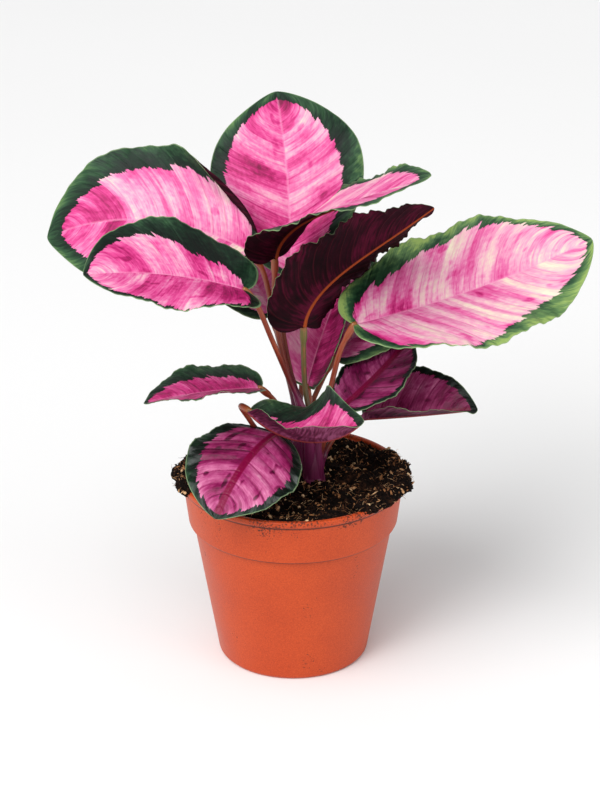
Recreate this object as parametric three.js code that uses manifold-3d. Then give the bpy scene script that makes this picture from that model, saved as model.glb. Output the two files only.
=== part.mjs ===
// A rose-painted calathea in its terracotta nursery pot: a thin moulded pot, the peat in it,
// three shoots of stalks that stand in the peat, and a blade at the end of each stalk.
// Millimetres, +Z up. The origin is the centre of the pot's underside.
import * as THREE from "three";
import { mergeVertices } from "three/addons/utils/BufferGeometryUtils.js";
import Module from "manifold-3d";

const wasm = await Module();
wasm.setup();

// Clear space left between two pieces that touch.
const GAP = 0.3;

// The pot: a 13 cm nursery pot with a deep collar and a slender, tapering wall.
const POT_HEIGHT = 112;
const RIM_RADIUS = 65;
const COLLAR_HEIGHT = 28;
const COLLAR_FOOT_RADIUS = 60.5;
const COLLAR_STEP = 2.6;
const FOOT_RADIUS = 44;
const POT_WALL = 2;
const POT_FLOOR = 3.2;
const LIP_THICKNESS = 3;
const LIP_HEIGHT = 4;
const LIP_SWELL = 1;
const EDGE = 0.9;
const FOOT_EDGE = 1.7;
const FOOT_RECESS = 1.2;
const FOOT_RECESS_INNER = 16;
const FOOT_RECESS_OUTER = 37;
const DRAIN_HOLES = 8;
const DRAIN_HOLE_RADIUS = 4.5;
const DRAIN_RING_RADIUS = 27;
const DRAIN_HOLE_SIDES = 10;
const POT_SIDES = 40;

// The peat: its level at the middle, how far it climbs at the wall, and the clear space left
// between it and the wall.
const SOIL_LEVEL = 107.5;
const SOIL_RISE = 3.5;
const SOIL_CLEARANCE = 0.6;
const SOIL_RINGS = 6;
const SOIL_SIDES = 32;
// Lumps of its top, as waves: height, radians to a millimetre along X and Y, and phase.
const SOIL_LUMPS = [
  { height: 1.3, alongX: 0.16, alongY: 0.19, phase: 1.3 },
  { height: 0.9, alongX: 0.31, alongY: -0.27, phase: 0 },
  { height: 0.65, alongX: 0.43, alongY: 0.38, phase: 3.6 },
];
// Heaps that spilled over the rim: angle round the pot in degrees, distance out, and half
// sizes outwards, along the rim and upwards.
const SPILLS = [
  { angle: 166, reach: 60, size: [7, 11, 4] },
  { angle: 180, reach: 62, size: [8.5, 12, 5.5] },
  { angle: 195, reach: 61.5, size: [8, 12, 5] },
  { angle: -44, reach: 60, size: [7, 11, 4] },
  { angle: -29, reach: 61, size: [8, 12, 5.5] },
  { angle: -13, reach: 61.5, size: [8.5, 12, 6.5] },
  { angle: 4, reach: 60.5, size: [8, 12, 6] },
  { angle: 19, reach: 59.5, size: [7, 11, 4.5] },
];
const SPILL_UNEVENNESS = 0.22;
const SPILL_BUMPS = 5;

// Shoots: where each one leaves the peat, and the radius of the root that stands in its hole.
const ROOT_DEPTH = 30;
const ROOT_SIDES = 14;
const CROWN_HEIGHT = 7;
const SHOOTS = {
  shoot_main: { at: [12, 0], rootRadius: 6.5, spread: 3 },
  shoot_low: { at: [-10, -16], rootRadius: 4.6, spread: 1.1 },
  shoot_back: { at: [3, 24], rootRadius: 5, spread: 2 },
};

// A stalk is a thick sheath at its foot, then a thin stem, then a swollen joint at the blade.
const SHEATH_RADIUS = 3.1;
const STEM_RADIUS = 1.6;
const JOINT_RADIUS = 2.1;
const JOINT_LENGTH = 9;
const SHEATH_SHARE = 0.42;
const STALK_SIDES = 6;
const STALK_STEPS = 9;
const STALK_START_DEPTH = 8;

// A blade is thin, with a keel under its midrib.
const BLADE_THICKNESS = 0.9;
const KEEL_DEPTH = 0.7;
const BLADE_COLUMNS = [0, 0.08, 0.42, 0.74, 1];
const BLADE_END_HALF_WIDTH = 2;
const BLADE_TIP_HALF_WIDTH = 0.9;
// Its outline: how round (a half circle at 0.5, a spindle at 1), and how much the tip narrows.
const OUTLINE_ROUNDNESS = 0.56;
const TIP_NARROWING = 0.35;
const TIP_NARROWING_POWER = 10;
// Folds and curls start at the blade's ends and are whole from this share of its length on.
const OPENING_SHARE = 0.08;
// The foot's lobes fade along the blade by this power.
const LOBE_POWER = 4;
const MIDRIB_STEP = 1 / 120;

// Each leaf: the foot of its blade, the way it heads (degrees, 0 to the right, 90 to the back),
// its pitch at foot and tip, how early it bends, its sweep sideways, its roll at foot and tip,
// its length and width, the fold and curl of its left and right halves, how far along it is
// widest (1 is the middle), how far the lobes of its foot reach back, the edge waves (with a
// depth and a phase for each half), and the points that its stalk passes on the way up.
const LEAVES = [
  {
    name: "leaf_top",
    shoot: "shoot_main",
    base: [-1, 20, 227],
    heading: 91,
    pitch: [68, 46],
    bend: 1,
    sweep: 14,
    roll: [-8, -8],
    length: 108,
    width: 88,
    fold: [10, 9],
    curl: [-24, -12],
    fullest: 1.2,
    lobe: 15,
    waves: { depth: [2.2, 2.2], count: 2.6, phase: [0.1, 0.55] },
    stem: [[5, 3, 150], [-2, 8, 175], [-6, 14, 204]],
  },
  {
    name: "leaf_arching",
    shoot: "shoot_main",
    base: [-10, 2, 244],
    heading: -38,
    pitch: [80, 25],
    bend: 5.3,
    sweep: 16,
    roll: [2, 17],
    length: 118,
    width: 74,
    fold: [2, 17],
    curl: [-4, -4],
    fullest: 0.8,
    lobe: 12,
    waves: { depth: [2, 2], count: 2.5, phase: [0.3, 0.8] },
    stem: [[5, 0, 150], [-4, 1, 178], [-10, 3, 210]],
  },
  {
    name: "leaf_turned",
    shoot: "shoot_main",
    base: [6, -4, 205],
    heading: -4,
    pitch: [83, 31],
    bend: 3.7,
    sweep: 23,
    roll: [-54, -58],
    length: 102,
    width: 80,
    fold: [24, 1],
    curl: [0, -2],
    fullest: 0.82,
    lobe: 18,
    waves: { depth: [2.2, 2.2], count: 3.4, phase: [0.2, 0.1] },
    stem: [[11, -2, 140], [7, -2, 165], [6, -3, 188]],
  },
  {
    name: "leaf_left_near",
    shoot: "shoot_main",
    base: [-26, -29, 236.5],
    heading: 190,
    pitch: [21, 1],
    bend: 1,
    sweep: 9,
    roll: [-3, -12],
    length: 91,
    width: 74,
    fold: [8, 26],
    curl: [-16, 3],
    fullest: 1.05,
    lobe: 46,
    waves: { depth: [2.2, 2.2], count: 2.2, phase: [0.6, 0.15] },
    stem: [[8, -5, 146], [-3, -12, 178], [-12, -19, 204], [-20, -26, 227]],
  },
  {
    name: "leaf_left_far",
    shoot: "shoot_main",
    base: [-23, 8, 244.5],
    heading: 166,
    pitch: [27, -29],
    bend: 1,
    sweep: -1,
    roll: [-38, -39],
    length: 126,
    width: 90,
    fold: [-1, 16],
    curl: [-11, 2],
    fullest: 0.94,
    lobe: 6,
    waves: { depth: [2.5, 2.5], count: 2.6, phase: [0.2, 0.35] },
    stem: [[6, 2, 148], [-4, 5, 178], [-11, 8, 208], [-17, 8, 234]],
  },
  {
    name: "leaf_right_large",
    shoot: "shoot_main",
    base: [34, -16, 211],
    heading: 21,
    pitch: [5, 18],
    bend: 1,
    sweep: 2,
    roll: [6, 34],
    length: 151,
    width: 94,
    fold: [9, 7],
    curl: [1, -7],
    fullest: 0.87,
    lobe: 24,
    waves: { depth: [3.2, 3.2], count: 3.2, phase: [0.15, 0.4] },
    stem: [[15, -3, 142], [21, -8, 168], [27, -13, 195]],
  },
  {
    name: "leaf_young",
    shoot: "shoot_main",
    base: [8, 20, 158],
    heading: 38,
    pitch: [72, 59],
    bend: 1,
    sweep: 0,
    roll: [19, 19],
    length: 64,
    width: 46,
    fold: [34, 35],
    curl: [0, 0],
    fullest: 0.96,
    lobe: 8,
    waves: { depth: [1, 1], count: 1.6, phase: [0.1, 0.6] },
    stem: [[12, 7, 130]],
  },
  {
    name: "leaf_low_left",
    shoot: "shoot_low",
    base: [-18, -22, 175],
    heading: 188,
    pitch: [2, -11],
    bend: 1,
    sweep: 1,
    roll: [5, 7],
    length: 66,
    width: 48,
    fold: [14, 23],
    curl: [-4, -1],
    fullest: 0.9,
    lobe: 14,
    waves: { depth: [1.6, 1.6], count: 2.2, phase: [0.4, 0.9] },
    stem: [[-6, -9, 133], [-9, -12, 160]],
  },
  {
    name: "leaf_low_boat",
    shoot: "shoot_low",
    base: [-24, -35, 167],
    heading: -18,
    pitch: [-46, 51],
    bend: 1,
    sweep: -1,
    roll: [3, 22],
    length: 75,
    width: 64,
    fold: [18, 46],
    curl: [2, 11],
    fullest: 1.14,
    lobe: 14,
    waves: { depth: [8, 3], count: 1.3, phase: [0.32, 0.2] },
    stem: [[-15, -8, 132], [-24, -16, 152], [-29, -27, 166]],
  },
  {
    name: "leaf_low_front",
    shoot: "shoot_low",
    base: [-9, -17, 145],
    heading: 236,
    pitch: [0, -44],
    bend: 1,
    sweep: 7,
    roll: [-9, -9],
    length: 72,
    width: 66,
    fold: [4, 9],
    curl: [-13, -10],
    fullest: 0.95,
    lobe: 1,
    waves: { depth: [1.8, 1.8], count: 3.2, phase: [0.15, 0.65] },
    stem: [[-8, -14, 128]],
  },
  {
    name: "leaf_low_right_back",
    shoot: "shoot_main",
    base: [29, -6, 157],
    heading: 41,
    pitch: [22, 35],
    bend: 1,
    sweep: 0,
    roll: [1, 1],
    length: 59,
    width: 45,
    fold: [4, 4],
    curl: [-2, -2],
    fullest: 0.91,
    lobe: 12,
    waves: { depth: [1.6, 1.6], count: 2.4, phase: [0.3, 0.8] },
    stem: [[18, -3, 134]],
  },
  {
    name: "leaf_low_right",
    shoot: "shoot_main",
    base: [41, 14, 141],
    heading: -4,
    pitch: [4, 10],
    bend: 1,
    sweep: -6,
    roll: [7, 24],
    length: 66,
    width: 58,
    fold: [30, 45],
    curl: [0, 0],
    fullest: 0.94,
    lobe: 12,
    waves: { depth: [1.6, 1.6], count: 2.4, phase: [0.1, 0.5] },
    stem: [[19, 4, 124], [29, 9, 137]],
  },
  {
    name: "leaf_back_left",
    shoot: "shoot_back",
    base: [-12, 36, 196],
    heading: 118,
    pitch: [38, -4],
    bend: 1,
    sweep: 6,
    roll: [-4, -4],
    length: 92,
    width: 64,
    fold: [12, 12],
    curl: [-14, -14],
    fullest: 0.95,
    lobe: 16,
    waves: { depth: [2, 2], count: 2.4, phase: [0.35, 0.85] },
    stem: [[1, 26, 140], [-6, 31, 172]],
  },
  {
    name: "leaf_back_middle",
    shoot: "shoot_back",
    base: [8, 38, 186],
    heading: 80,
    pitch: [40, -8],
    bend: 1,
    sweep: -5,
    roll: [3, 3],
    length: 96,
    width: 67,
    fold: [10, 11],
    curl: [-14, -12],
    fullest: 0.95,
    lobe: 16,
    waves: { depth: [2, 2], count: 2.6, phase: [0.05, 0.5] },
    stem: [[4, 29, 140], [6, 34, 166]],
  },
  {
    name: "leaf_back_right",
    shoot: "shoot_back",
    base: [24, 30, 172],
    heading: 40,
    pitch: [34, -2],
    bend: 1,
    sweep: 5,
    roll: [6, 6],
    length: 86,
    width: 60,
    fold: [11, 12],
    curl: [-12, -14],
    fullest: 0.93,
    lobe: 16,
    waves: { depth: [1.8, 1.8], count: 2.3, phase: [0.6, 0.15] },
    stem: [[8, 27, 135], [17, 29, 158]],
  },
];
const LARGE_BLADE = 85;
const LARGE_BLADE_STATIONS = 13;
const SMALL_BLADE_STATIONS = 10;

const FINISHES = {
  pot: { color: 0xc8552f, roughness: 0.6 },
  soil: { color: 0x2c211b, roughness: 0.95 },
  stalks: { color: 0x7a3328, roughness: 0.5 },
  blade: { color: 0xe0609c, roughness: 0.45 },
  lowBlade: { color: 0xa8266b, roughness: 0.4 },
};

const radians = THREE.MathUtils.degToRad;

// A solid of the boolean library from a closed geometry.
function toSolid(geometry) {
  const bare = new THREE.BufferGeometry();
  bare.setAttribute("position", geometry.getAttribute("position"));
  bare.setIndex(geometry.getIndex());
  const merged = mergeVertices(bare, 1e-4);
  return new wasm.Manifold(
    new wasm.Mesh({
      numProp: 3,
      vertProperties: new Float32Array(merged.attributes.position.array),
      triVerts: new Uint32Array(merged.index.array),
    }),
  );
}

// The geometry of a solid, to draw it as a mesh.
function toGeometry(solid) {
  const mesh = solid.getMesh();
  const positions = [];
  for (let i = 0; i < mesh.vertProperties.length; i += mesh.numProp) {
    positions.push(...mesh.vertProperties.subarray(i, i + 3));
  }
  const geometry = new THREE.BufferGeometry();
  geometry.setAttribute("position", new THREE.Float32BufferAttribute(positions, 3));
  geometry.setIndex([...mesh.triVerts]);
  geometry.computeVertexNormals();
  return geometry;
}

// The largest body of a solid, without the scraps that a cut leaves.
function mainBody(solid) {
  return solid.decompose().sort((a, b) => b.volume() - a.volume())[0];
}

function closedGeometry(points, triangles) {
  const geometry = new THREE.BufferGeometry();
  geometry.setAttribute("position", new THREE.Float32BufferAttribute(points.flat(), 3));
  geometry.setIndex(triangles);
  geometry.computeVertexNormals();
  return geometry;
}

// A profile of [radius, height] points, turned about the upright axis.
function turned(profile, sides) {
  const points = profile.map(([radius, height]) => new THREE.Vector2(radius, height));
  return new THREE.LatheGeometry(points, sides).rotateX(Math.PI / 2);
}

// Outer radius of the pot's wall below the collar, at a height.
function wallRadius(height) {
  const top = COLLAR_FOOT_RADIUS - COLLAR_STEP;
  return THREE.MathUtils.lerp(FOOT_RADIUS, top, height / (POT_HEIGHT - COLLAR_HEIGHT));
}

// The pot's section, up the outside and down the inside.
function potProfile() {
  const collarFoot = POT_HEIGHT - COLLAR_HEIGHT;
  const innerCollar = COLLAR_FOOT_RADIUS - POT_WALL;
  const innerWall = wallRadius(collarFoot) - POT_WALL;
  return [
    [0, 0],
    [FOOT_RECESS_INNER, 0],
    [FOOT_RECESS_INNER + EDGE, FOOT_RECESS],
    [FOOT_RECESS_OUTER - EDGE, FOOT_RECESS],
    [FOOT_RECESS_OUTER, 0],
    [FOOT_RADIUS - FOOT_EDGE, 0],
    [FOOT_RADIUS, FOOT_EDGE],
    [wallRadius(collarFoot), collarFoot - EDGE],
    [COLLAR_FOOT_RADIUS - EDGE, collarFoot],
    [COLLAR_FOOT_RADIUS, collarFoot + EDGE],
    [RIM_RADIUS - LIP_SWELL, POT_HEIGHT - LIP_HEIGHT],
    [RIM_RADIUS, POT_HEIGHT - LIP_HEIGHT + LIP_SWELL],
    [RIM_RADIUS, POT_HEIGHT - EDGE],
    [RIM_RADIUS - EDGE, POT_HEIGHT],
    [RIM_RADIUS - LIP_THICKNESS + EDGE, POT_HEIGHT],
    [RIM_RADIUS - LIP_THICKNESS, POT_HEIGHT - EDGE],
    [innerCollar, collarFoot + EDGE],
    [innerWall, collarFoot - EDGE],
    [FOOT_RADIUS - POT_WALL, POT_FLOOR + FOOT_EDGE],
    [FOOT_RADIUS - POT_WALL - FOOT_EDGE, POT_FLOOR],
    [0, POT_FLOOR],
  ];
}

// The pot, with its drainage holes through the floor.
function potSolid() {
  let pot = toSolid(turned(potProfile(), POT_SIDES));
  for (let i = 0; i < DRAIN_HOLES; i += 1) {
    const angle = ((i + 0.5) / DRAIN_HOLES) * 2 * Math.PI;
    const height = 4 * POT_FLOOR;
    const hole = new THREE.CylinderGeometry(DRAIN_HOLE_RADIUS, DRAIN_HOLE_RADIUS, height, DRAIN_HOLE_SIDES);
    hole.rotateX(Math.PI / 2);
    hole.translate(DRAIN_RING_RADIUS * Math.cos(angle), DRAIN_RING_RADIUS * Math.sin(angle), 0);
    pot = pot.subtract(toSolid(hole));
  }
  return pot;
}

// Height of the peat: level in the middle, climbing to the wall, with soft lumps.
function soilHeight(x, y) {
  const out = Math.hypot(x, y) / (RIM_RADIUS - LIP_THICKNESS);
  let lumps = 0;
  for (const { height, alongX, alongY, phase } of SOIL_LUMPS) {
    lumps += height * Math.sin(alongX * x + alongY * y + phase);
  }
  return SOIL_LEVEL + SOIL_RISE * out ** 3 + lumps * (1 - 0.5 * out ** 4);
}

// A squashed, uneven heap of peat, set over the rim.
function spillSolid({ angle, reach, size }) {
  const heap = new THREE.IcosahedronGeometry(1, 1);
  const positions = heap.getAttribute("position");
  for (let i = 0; i < positions.count; i += 1) {
    const [x, y, z] = [positions.getX(i), positions.getY(i), positions.getZ(i)];
    const bump = Math.sin(SPILL_BUMPS * (x - z) + angle) + Math.cos(SPILL_BUMPS * (y + z) - angle);
    const scale = 1 + (SPILL_UNEVENNESS * bump) / 2;
    positions.setXYZ(i, x * scale, y * scale, z * scale);
  }
  heap.scale(...size);
  heap.rotateZ(radians(angle));
  heap.translate(reach * Math.cos(radians(angle)), reach * Math.sin(radians(angle)), POT_HEIGHT - 0.5);
  return toSolid(heap);
}

// A plain ring that holds the pot's rim with the gap round it.
function rimRing() {
  const [inner, outer] = [RIM_RADIUS - LIP_THICKNESS - 2 * SOIL_CLEARANCE, RIM_RADIUS + GAP];
  const [low, high] = [POT_HEIGHT - COLLAR_HEIGHT / 2, POT_HEIGHT + GAP];
  const section = [[inner, low], [outer, low], [outer, high], [inner, high], [inner, low]];
  return toSolid(turned(section, POT_SIDES));
}

// The peat: a lumpy top over a plug that fills the pot, heaps over the rim, and a plain hole
// for the root of each shoot.
function soilSolid() {
  const foot = POT_FLOOR + GAP;
  const plugFoot = FOOT_RADIUS - POT_WALL - FOOT_EDGE - SOIL_CLEARANCE;
  const collarFoot = POT_HEIGHT - COLLAR_HEIGHT;
  const topRadius = RIM_RADIUS - LIP_THICKNESS - 2 * SOIL_CLEARANCE;
  const below = [
    [topRadius - SOIL_CLEARANCE, SOIL_LEVEL - 1.5],
    [COLLAR_FOOT_RADIUS - POT_WALL - SOIL_CLEARANCE, collarFoot + 2 * EDGE],
    [wallRadius(collarFoot) - POT_WALL - SOIL_CLEARANCE, collarFoot - EDGE],
    [plugFoot, foot],
  ];
  const points = [[0, 0, soilHeight(0, 0)]];
  const triangles = [];
  const ringStart = (ring) => 1 + ring * SOIL_SIDES;
  for (let ring = 0; ring < SOIL_RINGS; ring += 1) {
    const radius = (topRadius * (ring + 1)) / SOIL_RINGS;
    for (let side = 0; side < SOIL_SIDES; side += 1) {
      const turn = (side / SOIL_SIDES) * 2 * Math.PI;
      const [x, y] = [radius * Math.cos(turn), radius * Math.sin(turn)];
      points.push([x, y, soilHeight(x, y)]);
    }
  }
  for (const [radius, height] of below) {
    for (let side = 0; side < SOIL_SIDES; side += 1) {
      const turn = (side / SOIL_SIDES) * 2 * Math.PI;
      points.push([radius * Math.cos(turn), radius * Math.sin(turn), height]);
    }
  }
  const rings = SOIL_RINGS + below.length;
  const last = points.push([0, 0, foot]) - 1;
  for (let side = 0; side < SOIL_SIDES; side += 1) {
    const next = (side + 1) % SOIL_SIDES;
    triangles.push(0, ringStart(0) + side, ringStart(0) + next);
    for (let ring = 0; ring < rings - 1; ring += 1) {
      const [a, b] = [ringStart(ring) + side, ringStart(ring) + next];
      const [c, d] = [ringStart(ring + 1) + side, ringStart(ring + 1) + next];
      triangles.push(a, c, d, a, d, b);
    }
    triangles.push(ringStart(rings - 1) + next, ringStart(rings - 1) + side, last);
  }
  const rim = rimRing();
  let soil = toSolid(closedGeometry(points, triangles));
  for (const spill of SPILLS) {
    soil = soil.add(spillSolid(spill).subtract(rim));
  }
  for (const { at, rootRadius } of Object.values(SHOOTS)) {
    soil = soil.subtract(holeSolid(at, rootRadius + GAP));
  }
  return mainBody(soil);
}

// The plain round hole of a root, as a solid as far over the peat's level as under it.
function holeSolid(at, radius) {
  const hole = new THREE.CylinderGeometry(radius, radius, 2 * (ROOT_DEPTH + GAP), ROOT_SIDES);
  hole.rotateX(Math.PI / 2);
  hole.translate(at[0], at[1], SOIL_LEVEL);
  return toSolid(hole);
}

// The root of a shoot: a plain peg in its hole, with a domed crown just over the peat.
function rootSolid(at, radius) {
  const profile = [
    [0, SOIL_LEVEL - ROOT_DEPTH],
    [radius, SOIL_LEVEL - ROOT_DEPTH],
    [radius, SOIL_LEVEL + 0.15 * CROWN_HEIGHT],
    [0.8 * radius, SOIL_LEVEL + 0.6 * CROWN_HEIGHT],
    [0, SOIL_LEVEL + CROWN_HEIGHT],
  ];
  return toSolid(turned(profile, ROOT_SIDES).translate(at[0], at[1], 0));
}

// Directions at a share s of the midrib: along it, across the blade to its left, and out of
// its upper face.
function leafFrame(leaf, s) {
  const turn = radians(leaf.heading + leaf.sweep * s);
  const pitchShare = (1 - s) ** leaf.bend;
  const pitch = radians(leaf.pitch[1] + (leaf.pitch[0] - leaf.pitch[1]) * pitchShare);
  const roll = radians(THREE.MathUtils.lerp(leaf.roll[0], leaf.roll[1], s));
  const along = new THREE.Vector3(
    Math.cos(pitch) * Math.cos(turn),
    Math.cos(pitch) * Math.sin(turn),
    Math.sin(pitch),
  );
  const level = new THREE.Vector3(-Math.sin(turn), Math.cos(turn), 0);
  const above = new THREE.Vector3().crossVectors(along, level);
  const across = level.clone().multiplyScalar(Math.cos(roll)).addScaledVector(above, Math.sin(roll));
  const out = above.multiplyScalar(Math.cos(roll)).addScaledVector(level, -Math.sin(roll));
  return { along, across, out };
}

// The midrib's points at the given shares, by adding up its direction in small steps.
function midribPoints(leaf, shares) {
  const at = new THREE.Vector3(...leaf.base);
  let s = 0;
  return shares.map((share) => {
    while (s < share - 1e-9) {
      const step = Math.min(MIDRIB_STEP, share - s);
      at.addScaledVector(leafFrame(leaf, s + step / 2).along, step * leaf.length);
      s += step;
    }
    return at.clone();
  });
}

// Half the blade's width at a share s: full and rounded, drawn out to a short point.
function halfWidth(leaf, s) {
  const round = Math.max(Math.sin(Math.PI * s ** leaf.fullest), 0) ** OUTLINE_ROUNDNESS;
  const width = (leaf.width / 2) * round * (1 - TIP_NARROWING * s ** TIP_NARROWING_POWER);
  const least = THREE.MathUtils.lerp(BLADE_END_HALF_WIDTH, BLADE_TIP_HALF_WIDTH, s);
  return Math.max(width, least);
}

// How far a point at share t of a half lies across and above, on an arc that starts at the
// fold's angle and bends by the curl's.
function acrossArc(fold, curl, t) {
  if (Math.abs(curl) < 1e-3) return [t * Math.cos(fold), t * Math.sin(fold)];
  const end = fold + curl * t;
  return [(Math.sin(end) - Math.sin(fold)) / curl, (Math.cos(fold) - Math.cos(end)) / curl];
}

// Points of the blade's middle surface, a row for each station from foot to tip, and in a row
// a point for each column from the right edge to the left.
function bladeRows(leaf, grow) {
  const stations = leaf.length > LARGE_BLADE ? LARGE_BLADE_STATIONS : SMALL_BLADE_STATIONS;
  const shares = [];
  for (let i = 0; i <= stations; i += 1) {
    const even = i / stations;
    const crowded = (1 - Math.cos(Math.PI * even)) / 2;
    shares.push((even + crowded) / 2);
  }
  const midrib = midribPoints(leaf, shares);
  return shares.map((s, row) => {
    const { along, across, out } = leafFrame(leaf, s);
    const middle = midrib[row].clone();
    if (row === 0) middle.addScaledVector(along, -grow);
    const reach = halfWidth(leaf, s) + grow;
    const openness = THREE.MathUtils.smoothstep(Math.min(s, 1 - s), -0.03, OPENING_SHARE);
    const point = (side, t) => {
      const half = side > 0 ? 0 : 1;
      const fold = radians(leaf.fold[half]) * openness;
      const curl = radians(leaf.curl[half]) * openness;
      const [sideways, up] = acrossArc(fold, curl, t);
      const { depth, count, phase } = leaf.waves;
      const beat = Math.sin(2 * Math.PI * (count * s + phase[half]));
      const wave = depth[half] * t ** 3 * beat * Math.sin(Math.PI * s);
      const back = (2 * leaf.lobe * reach * t ** 2 * (1 - s) ** LOBE_POWER) / leaf.width;
      return middle
        .clone()
        .addScaledVector(across, side * sideways * reach)
        .addScaledVector(out, up * reach + wave)
        .addScaledVector(along, -back);
    };
    const right = BLADE_COLUMNS.slice(1).map((t) => point(-1, t)).reverse();
    const left = BLADE_COLUMNS.slice(1).map((t) => point(1, t));
    return [...right, point(1, 0), ...left];
  });
}

// A thin closed blade: its middle surface moved up and down by half the thickness, the same
// split on both faces, with a keel under the midrib.
function bladeGeometry(leaf, thickness, grow = 0) {
  const rows = bladeRows(leaf, grow);
  const [rowCount, columnCount] = [rows.length, rows[0].length];
  const middleColumn = (columnCount - 1) / 2;
  const points = [];
  for (const face of [1, -1]) {
    rows.forEach((row, i) => {
      row.forEach((point, j) => {
        const ahead = rows[Math.min(i + 1, rowCount - 1)][j];
        const behind = rows[Math.max(i - 1, 0)][j];
        const left = row[Math.min(j + 1, columnCount - 1)];
        const right = row[Math.max(j - 1, 0)];
        const normal = ahead.clone().sub(behind).cross(left.clone().sub(right)).normalize();
        const keel = face < 0 && j === middleColumn ? KEEL_DEPTH * (1 - i / (rowCount - 1)) : 0;
        points.push(point.clone().addScaledVector(normal, face * (thickness / 2 + keel)).toArray());
      });
    });
  }
  const index = (face, i, j) => (face * rowCount + i) * columnCount + j;
  const triangles = [];
  for (let i = 0; i < rowCount - 1; i += 1) {
    for (let j = 0; j < columnCount - 1; j += 1) {
      const corners = [0, 1].map((face) => [
        index(face, i, j),
        index(face, i + 1, j),
        index(face, i + 1, j + 1),
        index(face, i, j + 1),
      ]);
      const [[a, b, c, d], [e, f, g, h]] = corners;
      triangles.push(a, b, c, a, c, d, e, g, f, e, h, g);
    }
  }
  const rim = [];
  for (let j = 0; j < columnCount - 1; j += 1) rim.push([0, j]);
  for (let i = 0; i < rowCount - 1; i += 1) rim.push([i, columnCount - 1]);
  for (let j = columnCount - 1; j > 0; j -= 1) rim.push([rowCount - 1, j]);
  for (let i = rowCount - 1; i > 0; i -= 1) rim.push([i, 0]);
  rim.forEach(([i, j], k) => {
    const [m, n] = rim[(k + 1) % rim.length];
    const [a, b, c, d] = [index(0, i, j), index(0, m, n), index(1, m, n), index(1, i, j)];
    triangles.push(a, b, c, a, c, d);
  });
  return closedGeometry(points, triangles);
}

// A closed round tube along a curve, with a radius for each share of its length.
function tubeSolid(curve, radiusAt, sides, steps) {
  const frames = curve.computeFrenetFrames(steps);
  const points = [];
  for (let i = 0; i <= steps; i += 1) {
    const centre = curve.getPointAt(i / steps);
    const radius = radiusAt(i / steps);
    for (let side = 0; side < sides; side += 1) {
      const turn = (side / sides) * 2 * Math.PI;
      const point = centre
        .clone()
        .addScaledVector(frames.normals[i], radius * Math.cos(turn))
        .addScaledVector(frames.binormals[i], radius * Math.sin(turn));
      points.push(point.toArray());
    }
  }
  const first = points.push(curve.getPointAt(0).toArray()) - 1;
  const last = points.push(curve.getPointAt(1).toArray()) - 1;
  const triangles = [];
  for (let side = 0; side < sides; side += 1) {
    const next = (side + 1) % sides;
    triangles.push(first, next, side);
    triangles.push(last, steps * sides + side, steps * sides + next);
    for (let i = 0; i < steps; i += 1) {
      const [a, b] = [i * sides + side, i * sides + next];
      triangles.push(a, b, b + sides, a, b + sides, a + sides);
    }
  }
  return toSolid(closedGeometry(points, triangles));
}

// A stalk from its place in the shoot's crown to the foot of its blade.
function stalkSolid(leaf) {
  const { at, spread } = SHOOTS[leaf.shoot];
  const [baseX, baseY] = leaf.base;
  const away = Math.atan2(baseY - at[1], baseX - at[0]);
  const [footX, footY] = [at[0] + spread * Math.cos(away), at[1] + spread * Math.sin(away)];
  const foot = [footX, footY, SOIL_LEVEL - STALK_START_DEPTH];
  const above = [footX, footY, SOIL_LEVEL + STALK_START_DEPTH / 2];
  const base = new THREE.Vector3(...leaf.base);
  const points = [foot, above, ...leaf.stem].map((point) => new THREE.Vector3(...point));
  points.push(base);
  const curve = new THREE.CatmullRomCurve3(points, false, "centripetal");
  const length = curve.getLength();
  const jointShare = 1 - JOINT_LENGTH / length;
  const radiusAt = (share) => {
    if (share > jointShare) return JOINT_RADIUS;
    const sheath = THREE.MathUtils.smoothstep(share, 0, SHEATH_SHARE);
    return THREE.MathUtils.lerp(SHEATH_RADIUS, STEM_RADIUS, sheath);
  };
  return tubeSolid(curve, radiusAt, STALK_SIDES, STALK_STEPS);
}

// A shoot: its root peg and the stalks that rise from it, clear of every blade by the gap.
function shootSolid(name) {
  const { at, rootRadius } = SHOOTS[name];
  let shoot = rootSolid(at, rootRadius);
  for (const leaf of LEAVES.filter((each) => each.shoot === name)) {
    shoot = shoot.add(stalkSolid(leaf));
  }
  for (const leaf of LEAVES) {
    shoot = shoot.subtract(toSolid(bladeGeometry(leaf, BLADE_THICKNESS + 2 * GAP, GAP)));
  }
  return mainBody(shoot);
}

function piece(name, geometry, finish) {
  const mesh = new THREE.Mesh(geometry, new THREE.MeshStandardMaterial(finish));
  mesh.name = name;
  return mesh;
}

const plant = new THREE.Group();
plant.add(piece("pot", toGeometry(potSolid()), FINISHES.pot));
plant.add(piece("soil", toGeometry(soilSolid()), FINISHES.soil));
for (const name of Object.keys(SHOOTS)) {
  plant.add(piece(name, toGeometry(shootSolid(name)), FINISHES.stalks));
}
for (const leaf of LEAVES) {
  const finish = leaf.name.startsWith("leaf_low") ? FINISHES.lowBlade : FINISHES.blade;
  plant.add(piece(leaf.name, bladeGeometry(leaf, BLADE_THICKNESS), finish));
}

export default plant;
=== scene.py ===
# %% [markdown]
# # A rose-painted calathea in its nursery pot
# The plant has fifteen thin blades on long stalks, rooted in peat in a terracotta-coloured
# plastic pot. The solids of the frame give every piece its place and form. This lesson makes
# a finer surface for each of them, and paints it with nodes alone.

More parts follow.
